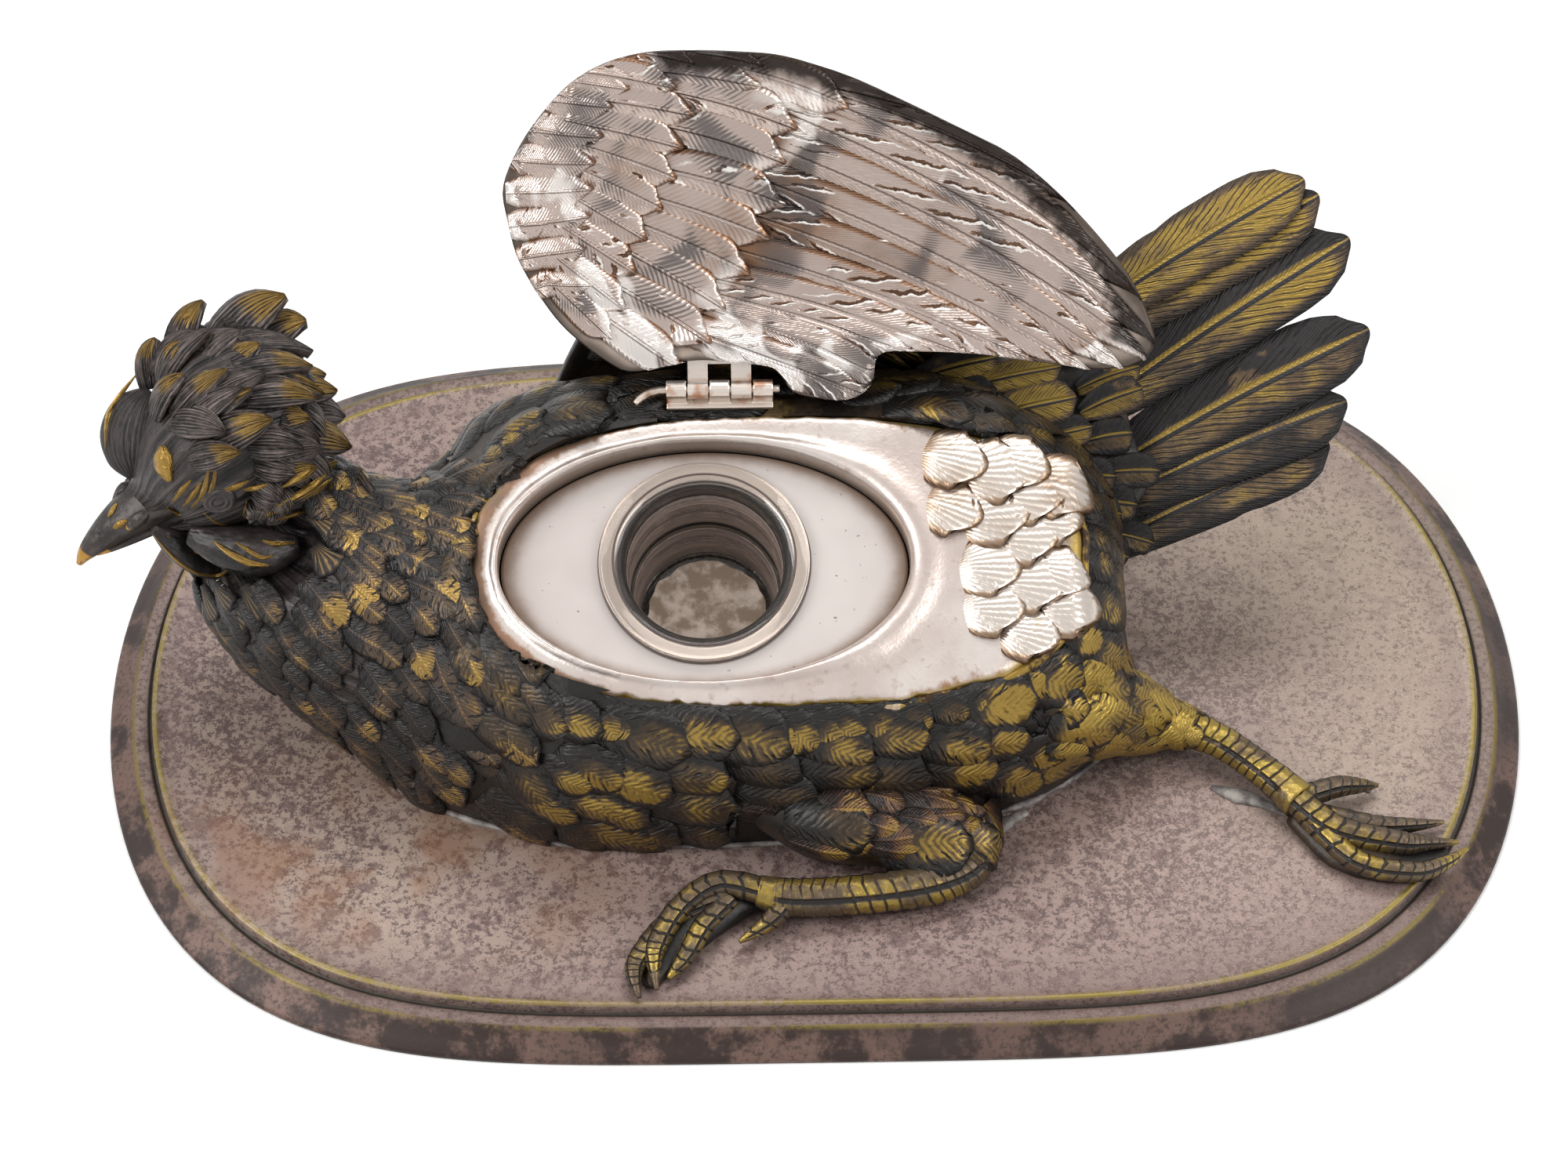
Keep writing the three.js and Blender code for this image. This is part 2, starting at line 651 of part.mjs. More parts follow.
// Tail: shares of its length and spread for each feather's root and tip, from the top down
const tailFeatherShares = [
  [-0.15, 0.52, 0.79, 0.88],
  [-0.15, 0.46, 0.83, 0.83],
  [-0.15, 0.25, 0.91, 0.69],
  [-0.15, 0.07, 0.93, 0.415],
  [-0.15, -0.01, 0.82, 0.215],
  [-0.15, -0.13, 0.74, 0.1],
];
const vaneWidthShares = [0.35, 0.55, 0.78, 0.92, 1, 1, 0.92, 0.66, 0.12];
const vanePowerShare = 1.35;
const covertShares = [
  [-0.42, 0.2, -0.06, 0.26, 0.1],
  [-0.2, 0.22, -0.02, 0.32, 0.13],
  [-0.02, 0.23, -0.02, 0.3, 0.08],
  [0.1, 0.25, -0.03, 0.22, 0.03],
];

function tailSolid(grown) {
  const frame = new THREE.Matrix4().makeRotationFromEuler(
    new THREE.Euler(degrees(TAIL_ROLL_DEG), -degrees(TAIL_RISE_DEG), 0, "YXZ"));
  frame.setPosition(TAIL_X, TAIL_Y, TAIL_Z);
  const feathers = tailFeatherShares.map(([rootAlong, rootAcross, tipAlong, tipAcross], number) => {
    const rows = vaneWidthShares.map((width, k) => {
      const share = k / (vaneWidthShares.length - 1);
      return [
        THREE.MathUtils.lerp(rootAlong, tipAlong, share) * TAIL_LENGTH,
        THREE.MathUtils.lerp(rootAcross, tipAcross, share) * TAIL_SPREAD,
        -number * FEATHER_SHINGLE,
        width * FEATHER_HALF_WIDTH + grown,
        FEATHER_HALF_THICKNESS + grown,
      ];
    });
    return sweep(rows, { sides: 6, steps: 9, power: vanePowerShare });
  });
  const coverts = sweep(covertShares.map(([x, y, z, width, height]) => [
    x * TAIL_LENGTH, y * TAIL_SPREAD, z * TAIL_LENGTH, width * TAIL_SPREAD + grown,
    height * TAIL_LENGTH + grown,
  ]), { sides: 14, steps: 6 });
  return joined([...feathers, coverts].map((piece) => solid(piece.applyMatrix4(frame))));
}

// Head: its frame looks along the beak; shares of the skull's radius
const skullShares = [
  [-1, 0, -0.15, 0.45, 0.45], [-0.6, 0, 0, 0.92, 0.92], [0, 0, 0.05, 1, 1.02],
  [0.5, 0, 0, 0.84, 0.82], [0.95, 0, -0.08, 0.52, 0.46], [1.15, 0, -0.1, 0.36, 0.33],
];
const beakShares = [
  [0.7, 0, -0.08, 0.4, 0.34], [1.1, 0, -0.1, 0.34, 0.29], [1.5, 0, -0.1, 0.26, 0.23],
  [1.85, 0, -0.12, 0.18, 0.17], [2.1, 0, -0.17, 0.11, 0.11], [2.22, 0, -0.22, 0.03, 0.03],
];
const cheekShares = [
  [0.35, 0.6, -0.35, 0.3, 0.25], [-0.1, 0.82, -0.5, 0.42, 0.3], [-0.7, 0.9, -0.65, 0.3, 0.2],
  [-1.15, 0.85, -0.75, 0.08, 0.06],
];
const browShares = [
  [1, 0.3, 0.2, 0.12, 0.12], [0.78, 0.66, 0.42, 0.24, 0.2], [0.45, 0.9, 0.56, 0.28, 0.22],
  [0.1, 0.94, 0.6, 0.2, 0.16], [-0.2, 0.86, 0.6, 0.06, 0.06],
];
// Crest: rows of tufts over the skull, front to back. A tuft starts and ends at a share of a right
// angle back from upright and leans sideways; tuft shares are the way along, reach and width.
const RIGHT_ANGLE_DEG = 90;
const crestRowShares = [
  { from: -0.61, to: -0.07, leans: [-0.42, 0.27], rising: 1.1 },
  { from: -0.24, to: 0.38, leans: [-0.67, -0.13, 0.4, 0.78], rising: 1.08 },
  { from: 0.22, to: 0.82, leans: [-0.71, -0.27, 0.18, 0.62], rising: 1.08 },
  { from: 0.67, to: 1.24, leans: [-0.49, 0, 0.49], rising: 0.98 },
];
const tuftShares = [[0, 0.84, 0.6], [0.35, 1.14, 1], [0.7, 1.3, 0.95], [0.92, 1.4, 0.5], [1, 1.45, 0.12]];

function headFrame() {
  const yaw = degrees(HEAD_YAW_DEG);
  const pitch = degrees(HEAD_PITCH_DEG);
  const ahead = vector(Math.cos(yaw) * Math.cos(pitch), Math.sin(yaw) * Math.cos(pitch),
    -Math.sin(pitch));
  const side = vector(0, 0, 1).cross(ahead).normalize();
  const rise = ahead.clone().cross(side);
  return new THREE.Matrix4().makeBasis(ahead, side, rise).setPosition(HEAD_X, HEAD_Y, HEAD_Z);
}

function headAndNeck() {
  const scaled = (shares) => shares.map((row) => row.map((share) => share * SKULL_RADIUS));
  const mirrored = (shares) => shares.map(([x, y, z, width, height]) => [x, -y, z, width, height]);
  const pieces = [
    sweep(scaled(skullShares), { sides: 16, steps: 9 }),
    sweep(scaled(beakShares), { sides: 8, steps: 7 }),
    sweep(scaled(cheekShares), { sides: 8, steps: 5 }),
    sweep(scaled(mirrored(cheekShares)), { sides: 8, steps: 5 }),
    sweep(scaled(browShares), { sides: 6, steps: 5 }),
    sweep(scaled(mirrored(browShares)), { sides: 6, steps: 5 }),
  ];
  for (const { from, to, leans, rising } of crestRowShares) {
    for (const lean of leans) {
      const outwardAt = (angle) => vector(0, 0, 1)
        .applyAxisAngle(vector(0, 1, 0), -degrees(angle * RIGHT_ANGLE_DEG))
        .applyAxisAngle(vector(1, 0, 0), degrees(lean * RIGHT_ANGLE_DEG));
      const rows = tuftShares.map(([way, reach, width]) => {
        const place = outwardAt(THREE.MathUtils.lerp(from, to, way))
          .multiplyScalar(reach * rising * SKULL_RADIUS);
        return [...place.toArray(), width * TUFT_HALF_WIDTH, width * TUFT_HALF_THICKNESS];
      });
      pieces.push(sweep(rows, { sides: 6, steps: 4, up: outwardAt((from + to) / 2) }));
    }
  }
  const frame = headFrame();
  const head = joined(pieces.map((piece) => solid(piece.applyMatrix4(frame))));
  const beforeJoint = solid(box(vector(-FAR, -FAR, -FAR),
    vector(NECK_JOINT_X - SEAT_GAP, FAR, FAR)));
  return skin.intersect(beforeJoint).add(head);
}

// Legs: each limb is a row of shares of the leg's length from the hip: place, then half sizes
const nearLegShares = {
  thigh: [
    [-0.56, 0.16, 0.15, 0.13, 0.14], [-0.3, 0.09, 0.15, 0.15, 0.17], [-0.04, 0.06, 0.14, 0.15, 0.16],
    [0.16, 0.05, 0.12, 0.125, 0.125], [0.28, 0.03, 0.1, 0.095, 0.096],
  ],
  shank: [
    [0.28, 0.02, 0.1, 0.088, 0.088], [0.25, -0.09, 0.075, 0.068, 0.068],
    [0.1, -0.16, 0.066, 0.06, 0.06], [-0.16, -0.2, 0.066, 0.056, 0.056],
    [-0.38, -0.21, 0.072, 0.06, 0.06], [-0.5, -0.19, 0.086, 0.056, 0.056],
  ],
  middleToe: [
    [-0.46, -0.2, 0.086, 0.052, 0.052], [-0.64, -0.17, 0.106, 0.046, 0.046],
    [-0.78, -0.26, 0.086, 0.042, 0.042], [-0.86, -0.4, 0.066, 0.04, 0.04],
    [-0.87, -0.48, 0.058, 0.026, 0.026], [-0.86, -0.57, 0.032, 0.01, 0.01],
  ],
  outerToe: [
    [-0.6, -0.19, 0.066, 0.048, 0.048], [-0.8, -0.28, 0.052, 0.042, 0.042],
    [-0.92, -0.44, 0.046, 0.04, 0.04], [-0.94, -0.52, 0.042, 0.028, 0.028],
    [-0.92, -0.6, 0.03, 0.01, 0.01],
  ],
  innerToe: [
    [-0.6, -0.21, 0.066, 0.044, 0.044], [-0.7, -0.32, 0.05, 0.04, 0.04],
    [-0.76, -0.44, 0.042, 0.034, 0.034], [-0.82, -0.52, 0.03, 0.01, 0.01],
  ],
  hindToe: [
    [-0.4, -0.22, 0.066, 0.044, 0.044], [-0.46, -0.3, 0.056, 0.036, 0.036],
    [-0.57, -0.37, 0.03, 0.01, 0.01],
  ],
};
const farLegShares = {
  thigh: [
    [-0.36, 0.02, 0.42, 0.26, 0.28], [-0.1, 0.06, 0.36, 0.25, 0.27], [0.12, 0.1, 0.28, 0.21, 0.22],
    [0.28, 0.12, 0.2, 0.16, 0.16], [0.4, 0.12, 0.14, 0.115, 0.115], [0.48, 0.13, 0.12, 0.085, 0.085],
  ],
  shank: [
    [0.44, 0.12, 0.126, 0.08, 0.08], [0.64, 0.06, 0.102, 0.064, 0.064],
    [0.8, -0.06, 0.082, 0.06, 0.06], [0.94, -0.22, 0.076, 0.07, 0.07],
  ],
  middleToe: [
    [0.92, -0.2, 0.076, 0.058, 0.058], [1.06, -0.34, 0.066, 0.052, 0.052],
    [1.28, -0.4, 0.058, 0.046, 0.046], [1.38, -0.4, 0.052, 0.028, 0.028],
    [1.5, -0.38, 0.03, 0.01, 0.01],
  ],
  outerToe: [
    [0.96, -0.26, 0.058, 0.048, 0.048], [1.12, -0.47, 0.05, 0.042, 0.042],
    [1.32, -0.52, 0.046, 0.038, 0.038], [1.44, -0.48, 0.042, 0.026, 0.026],
    [1.53, -0.41, 0.03, 0.01, 0.01],
  ],
  hindToe: [
    [0.96, -0.2, 0.076, 0.044, 0.044], [1.08, -0.16, 0.078, 0.04, 0.04],
    [1.17, -0.14, 0.058, 0.028, 0.028], [1.24, -0.12, 0.03, 0.01, 0.01],
  ],
  innerToe: [
    [1, -0.26, 0.052, 0.04, 0.04], [1.2, -0.31, 0.046, 0.038, 0.038],
    [1.34, -0.31, 0.042, 0.026, 0.026], [1.46, -0.29, 0.03, 0.01, 0.01],
  ],
};

function leg(limbShares, hipX, hipY, thighClear) {
  const limbs = Object.entries(limbShares).map(([limb, shares]) => {
    const rows = shares.map(([x, y, z, width, height]) => [
      hipX + x * LEG_LENGTH, hipY + y * LEG_LENGTH, FOOT_Z + z * LEG_LENGTH,
      width * LEG_LENGTH, height * LEG_LENGTH,
    ]);
    const sides = limb === "thigh" ? 14 : 8;
    return solid(sweep(rows, { sides, steps: shares.length + 1 }));
  });
  return largestPiece(joined(limbs).intersect(aboveFoot).subtract(thighClear));
}

// Fixings: stud, washer and nut at each boss
function fixing(side, x) {
  const washerTop = COUNTERBORE_DEPTH - SEAT_GAP;
  const nutTop = washerTop - WASHER_THICKNESS - SEAT_GAP;
  const hole = () => solid(uprightRod(STUD_RADIUS + SEAT_GAP, x, STUD_Y, -OVERRUN, BASE_HEIGHT));
  const washer = uprightRod(WASHER_RADIUS, x, STUD_Y, washerTop - WASHER_THICKNESS, washerTop);
  const nut = uprightRod(NUT_RADIUS, x, STUD_Y, nutTop - NUT_THICKNESS, nutTop, 6);
  addMesh(figure, side + "_fixing_stud",
    uprightRod(STUD_RADIUS, x, STUD_Y, STUD_BOTTOM, STUD_TOP), ...steel);
  addMesh(figure, side + "_fixing_washer", solid(washer).subtract(hole()), ...steel);
  addMesh(figure, side + "_fixing_nut", solid(nut).subtract(hole()), ...steel);
}

addMesh(figure, "base_plinth", basePlinth(), ...baseFinish);
addMesh(figure, "bird_body", birdBody(), ...bronze);
addMesh(figure, "head_and_neck", headAndNeck(), ...bronze);
addMesh(figure, "tail_fan", tailSolid(0).subtract(skinClearance), ...bronze);
addMesh(figure, "near_leg", leg(nearLegShares, NEAR_HIP_X, NEAR_HIP_Y, skinClearance), ...bronze);
addMesh(figure, "far_leg", leg(farLegShares, FAR_HIP_X, FAR_HIP_Y, skinClearance), ...bronze);
addMesh(figure, "rear_wing", rearWing(), ...bronze);
addMesh(well, "well_collar", wellCollar(), ...silver);
addMesh(well, "tray_plate", trayPlate(), ...silver);
addMesh(well, "collar_hinge_leaf", collarLeaf(), ...silver);
addMesh(hinge, "hinge_pin", hingePin(), ...silver);
addMesh(hinge, "lid_hinge_leaf", lidLeaf(), ...silver);
addMesh(hinge, "lid_wing", lidWing(), ...silver);

const liner = new THREE.Group();
liner.position.set(0, FLANGE_V, SEAT_GAP - TRAY_DEPTH);
well.add(liner);
addMesh(liner, "glass_liner", glassLiner(), ...glass);

fixing("left", LEFT_STUD_X);
fixing("right", RIGHT_STUD_X);

export default figure;
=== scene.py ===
# %% [markdown]
# # A game-bird inkwell in patinated bronze
# The CAD model gives every size, place and joint of this desk piece: an oval base, a lying bird
# whose near wing is the hinged lid, and a glass liner in a silvered collar. This lesson dresses
# that model: feathers, scutes, turned glass, patina and worn gilding, all in mesh code.

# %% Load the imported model
import math
import random
import bmesh
import bpy
from mathutils import Matrix, Vector, noise
from mathutils.bvhtree import BVHTree


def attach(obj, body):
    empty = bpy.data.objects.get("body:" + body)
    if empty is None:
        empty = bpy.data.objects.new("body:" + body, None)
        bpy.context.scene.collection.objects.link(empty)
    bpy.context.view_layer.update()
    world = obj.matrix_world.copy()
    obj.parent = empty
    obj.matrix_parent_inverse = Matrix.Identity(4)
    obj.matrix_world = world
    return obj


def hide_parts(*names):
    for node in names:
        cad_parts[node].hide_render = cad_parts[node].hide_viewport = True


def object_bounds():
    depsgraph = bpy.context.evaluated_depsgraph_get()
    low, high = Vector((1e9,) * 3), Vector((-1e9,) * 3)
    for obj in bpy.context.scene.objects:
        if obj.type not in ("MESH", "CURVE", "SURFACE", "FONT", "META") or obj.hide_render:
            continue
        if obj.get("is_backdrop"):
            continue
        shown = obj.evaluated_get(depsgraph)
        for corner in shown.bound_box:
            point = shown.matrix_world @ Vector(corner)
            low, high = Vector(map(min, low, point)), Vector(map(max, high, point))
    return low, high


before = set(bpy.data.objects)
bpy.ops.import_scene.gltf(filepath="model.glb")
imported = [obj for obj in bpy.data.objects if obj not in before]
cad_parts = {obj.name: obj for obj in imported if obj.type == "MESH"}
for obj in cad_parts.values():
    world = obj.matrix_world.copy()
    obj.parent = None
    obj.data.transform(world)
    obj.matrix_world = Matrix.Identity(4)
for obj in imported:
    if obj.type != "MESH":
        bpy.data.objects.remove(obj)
cad_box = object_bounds()
chance = random.Random(11)
MM = 0.001

# %% [markdown]
# ## Camera
# The photograph looks down at about fifty degrees through a long lens. The camera stands at the
# place found from the base's outline, so each part lands where the photograph shows it.

# %% Camera
LENS = 88.65
EYE = Vector((-10.4, -454.8, 568.7))
TILT_DEG = 49.9
TURN_DEG = -0.61
ROLL_DEG = -0.34


def camera_axes():
    tilt, turn, roll = (math.radians(a) for a in (TILT_DEG, TURN_DEG, ROLL_DEG))
    back = Vector((math.sin(turn) * math.cos(tilt), -math.cos(turn) * math.cos(tilt), math.sin(tilt)))
    right = Vector((math.cos(turn), math.sin(turn), 0))
    up = back.cross(right)
    right, up = (right * math.cos(roll) + up * math.sin(roll),
                 up * math.cos(roll) - right * math.sin(roll))
    return right, up, back


camera = bpy.data.objects.new("camera", bpy.data.cameras.new("camera"))
bpy.context.scene.collection.objects.link(camera)
camera.data.lens = LENS
camera.data.sensor_width = 36
camera.data.clip_end = 20
camera.matrix_world = Matrix.Translation(EYE * MM) @ Matrix(camera_axes()).transposed().to_4x4()
bpy.context.scene.camera = camera
print("camera:", LENS, "mm lens,", round(EYE.length), "mm from the middle of the base")

# %% [markdown]
# ## Working in millimetres
# Every piece is drawn in millimetres, as a foundry drawing would be, and turned to metres when it
# is finished. One helper does that last step for all of them, so nothing is forgotten.

# %% Helpers for pieces
UP = Vector((0, 0, 1))


def fresh():
    bm = bmesh.new()
    bm.verts.layers.float_vector.new("grain")
    bm.verts.layers.float.new("lot")
    return bm


def finish_piece(bm, name, body, slot, *materials, smooth=True):
    bmesh.ops.recalc_face_normals(bm, faces=bm.faces[:])
    bmesh.ops.scale(bm, vec=(MM, MM, MM), verts=bm.verts[:])
    mesh = bpy.data.meshes.new(name)
    bm.to_mesh(mesh)
    bm.free()
    for material in materials:
        mesh.materials.append(material)
    mesh.polygons.foreach_set("use_smooth", [smooth] * len(mesh.polygons))
    piece = bpy.data.objects.new(name, mesh)
    bpy.context.scene.collection.objects.link(piece)
    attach(piece, body)
    print(name, len(mesh.polygons), "faces")
    return piece


def solid_copy(*nodes):
    bm = bmesh.new()
    for node in nodes:
        bm.from_mesh(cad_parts[node].data)
    bmesh.ops.remove_doubles(bm, verts=bm.verts[:], dist=1e-6)
    bmesh.ops.scale(bm, vec=(1 / MM, 1 / MM, 1 / MM), verts=bm.verts[:])
    return bm


def add_part(bm, part):
    mesh = bpy.data.meshes.new("part")
    part.to_mesh(mesh)
    part.free()
    bm.from_mesh(mesh)


def paint_node(node, material):
    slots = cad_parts[node].data.materials
    slots.clear()
    slots.append(material)


SPIN_MERGE = 0.0005


def spin_profile(bm, profile, steps, closed=False):
    """A line of radii and heights, spun full round the upright axis"""
    ring = [bm.verts.new((radius, 0, height)) for radius, height in profile]
    following = ring[1:] + (ring[:1] if closed else [])
    for a, b in zip(ring, following):
        bm.edges.new((a, b))
    bmesh.ops.spin(bm, geom=bm.verts[:] + bm.edges[:], cent=(0, 0, 0), axis=(0, 0, 1),
                   angle=2 * math.pi, steps=steps, use_merge=True)
    bmesh.ops.remove_doubles(bm, verts=bm.verts[:], dist=SPIN_MERGE)


def pull_ring(bm, edges):
    """Extrudes a ring of edges once and gives the new ring's vertices and edges"""
    grown = bmesh.ops.extrude_edge_only(bm, edges=edges)["geom"]
    ring = [part for part in grown if isinstance(part, bmesh.types.BMVert)]
    known = set(ring)
    return ring, [part for part in grown if isinstance(part, bmesh.types.BMEdge)
                  and part.verts[0] in known and part.verts[1] in known]


def blend(a, b, share):
    return a + (b - a) * share


def smooth_step(low, high, value):
    share = min(max((value - low) / (high - low), 0), 1)
    return share * share * (3 - 2 * share)


def table_at(rows, value):
    for (a, *first), (b, *second) in zip(rows, rows[1:]):
        if value <= b:
            share = min(max((value - a) / (b - a), 0), 1)
            return [blend(p, q, share) for p, q in zip(first, second)]
    return list(rows[-1][1:])


def curve_at(rows, share):
    place = min(max(share, 0), 1) * (len(rows) - 1)
    i = min(int(place), len(rows) - 2)
    t = place - i
    before = rows[max(i - 1, 0)]
    after = rows[min(i + 2, len(rows) - 1)]
    out = []
    for k, start in enumerate(rows[i]):
        end = rows[i + 1][k]
        slope_in = (end - before[k]) / 2
        slope_out = (after[k] - start) / 2
        bend = 3 * (end - start) - 2 * slope_in - slope_out
        turn = 2 * (start - end) + slope_in + slope_out
        out.append(start + t * (slope_in + t * (bend + t * turn)))
    return out


# %% [markdown]
# ## Limbs drawn out ring by ring
# A shank, a toe, a neck or a beak is a ring pulled along a curve. The ring starts as a circle,
# and each extrusion carries it to the next station, wider or narrower. A rising sawtooth in the
# radius gives overlapping scutes as real metal edges rather than painted ones.

# %% Limb sweep
LEAST_RADIUS = 0.02


def station(rows, share, up=UP):
    x, y, z, width, height = curve_at(rows, share)
    ahead = Vector(curve_at(rows, share + 0.01)[:3]) - Vector(curve_at(rows, share - 0.01)[:3])
    ahead.normalize()
    side = up.cross(ahead).normalized()
    rise = ahead.cross(side)
    return (Vector((x, y, z)), ahead, side, rise, max(width, LEAST_RADIUS),
            max(height, LEAST_RADIUS))


def ring_matrix(rows, share, up, swell=1.0):
    centre, ahead, side, rise, width, height = station(rows, share, up)
    matrix = Matrix((side * width * swell, rise * height * swell, ahead)).transposed().to_4x4()
    matrix.translation = centre
    return matrix


def sweep_limb(bm, rows, sides=24, steps=24, power=2.0, up=UP, swell=None, start=0.0, end=1.0,
               lot=0.5):
    grain = bm.verts.layers.float_vector["grain"]
    lots = bm.verts.layers.float["lot"]
    swell = swell or (lambda share: 1.0)
    ring = bmesh.ops.create_circle(bm, cap_ends=True, segments=sides, radius=1)["verts"]
    edges = list({edge for vert in ring for edge in vert.link_edges})
    for vert in ring:
        reach = (abs(vert.co.x) ** power + abs(vert.co.y) ** power) ** (-1 / power)
        vert[grain] = Vector((math.atan2(vert.co.x, vert.co.y) / math.pi, start, 1))
        vert[lots] = lot
        vert.co = vert.co * reach
    matrix = ring_matrix(rows, start, up, swell(start))
    bmesh.ops.transform(bm, matrix=matrix, verts=ring)
    for step in range(1, steps + 1):
        share = blend(start, end, step / steps)
        ring, edges = pull_ring(bm, edges)
        following = ring_matrix(rows, share, up, swell(share))
        bmesh.ops.transform(bm, matrix=following @ matrix.inverted(), verts=ring)
        matrix = following
        for vert in ring:
            vert[grain] = Vector((vert[grain].x, share, 1))
            vert[lots] = lot
    bmesh.ops.contextual_create(bm, geom=edges)


# %% [markdown]
# ## One feather, laid hundreds of times
# A cast feather is a thin scale: root tucked under its neighbour, middle domed along the shaft,
# tip lifted off the row below. The blank is a grid extruded once, so it is a closed slab of a
# few dozen faces. Each blank keeps its own across and along numbers, which the finish reads.

# %% Feather blank and laying
def feather_blank(name, across, along):
    bm = fresh()
    grain = bm.verts.layers.float_vector["grain"]
    bmesh.ops.create_grid(bm, x_segments=across, y_segments=along, size=1)
    whole = bm.verts[:] + bm.edges[:] + bm.faces[:]
    raised = bmesh.ops.extrude_face_region(bm, geom=whole, use_keep_orig=True)["geom"]
    tops = {part for part in raised if isinstance(part, bmesh.types.BMVert)}
    for vert in bm.verts:
        vert[grain] = Vector((vert.co.x, (vert.co.y + 1) / 2, 1.0 if vert in tops else 0.0))
        vert.co.z = 1.0 if vert in tops else 0.0
    bmesh.ops.recalc_face_normals(bm, faces=bm.faces[:])
    mesh = bpy.data.meshes.new(name)
    bm.to_mesh(mesh)
    bm.free()
    print(name, len(mesh.polygons), "faces")
    return mesh


small_blank = feather_blank("small_blank", 6, 8)
wide_blank = feather_blank("wide_blank", 6, 7)
long_blank = feather_blank("long_blank", 6, 16)


def lay(bm, blank, shape, lot=None):
    grain = bm.verts.layers.float_vector["grain"]
    lots = bm.verts.layers.float["lot"]
    first = len(bm.verts)
    bm.from_mesh(blank)
    bm.verts.ensure_lookup_table()
    lot = chance.random() if lot is None else lot
    for vert in bm.verts[first:]:
        across, way, top = vert[grain]
        vert.co = shape(across, way, top)
        vert[lots] = lot


ROUND_TIP = [(0, 0.6), (0.25, 0.9), (0.5, 1.0), (0.68, 0.99), (0.8, 0.9), (0.9, 0.7), (1, 0.2)]
UNDERSIDE_SINK = 0.8
ROOT_SINK = 0.25


def scale_on(ground, root, flow, length, half, outline=ROUND_TIP, lift=1.3, dome=1.1,
             tip_round=0.06):
    """A shape that lies on the ground from its root and rises by lift to its tip"""
    spot, normal, _, _ = ground.find_nearest(root)
    ahead = (flow - normal * flow.dot(normal)).normalized()
    side = ahead.cross(normal)

    def shape(across, way, top):
        wide = table_at(outline, way)[0] * half * across
        far = length * (way - tip_round * across * across * way ** 3)
        place, facing, _, _ = ground.find_nearest(spot + ahead * far + side * wide)
        facing = (facing + normal).normalized()
        if top < 0.5:
            return place - facing * UNDERSIDE_SINK
        swell = dome * (1 - across * across) * math.sin(math.pi * min(way * 0.8 + 0.2, 1) ** 1.2)
        return place + facing * (lift * way ** 1.2 + swell - ROOT_SINK)
    return shape


# %% [markdown]
# ## Writing finishes as sums
# A material is a few formulas: how worn, how deep, how dark. A small class wraps a socket so that
# these formulas are typed as Python sums, and one method of Finish makes almost every other node.

# %% Shader sums
class Wire:
    def __init__(self, graph, socket):
        self.graph = graph
        self.socket = socket

    def _sum(self, operation, *values):
        return self.graph.maths(operation, *values)

    def __add__(self, other):
        return self._sum("ADD", self, other)

    def __radd__(self, other):
        return self._sum("ADD", other, self)

    def __sub__(self, other):
        return self._sum("SUBTRACT", self, other)

    def __rsub__(self, other):
        return self._sum("SUBTRACT", other, self)

    def __mul__(self, other):
        return self._sum("MULTIPLY", self, other)

    def __rmul__(self, other):
        return self._sum("MULTIPLY", other, self)

    def __abs__(self):
        return self._sum("ABSOLUTE", self)

    def __pow__(self, other):
        return self._sum("POWER", self, other)


def tone(red, green, blue):
    def linear(value):
        value /= 255
        return value / 12.92 if value <= 0.04045 else ((value + 0.055) / 1.055) ** 2.4
    return (linear(red), linear(green), linear(blue), 1.0)


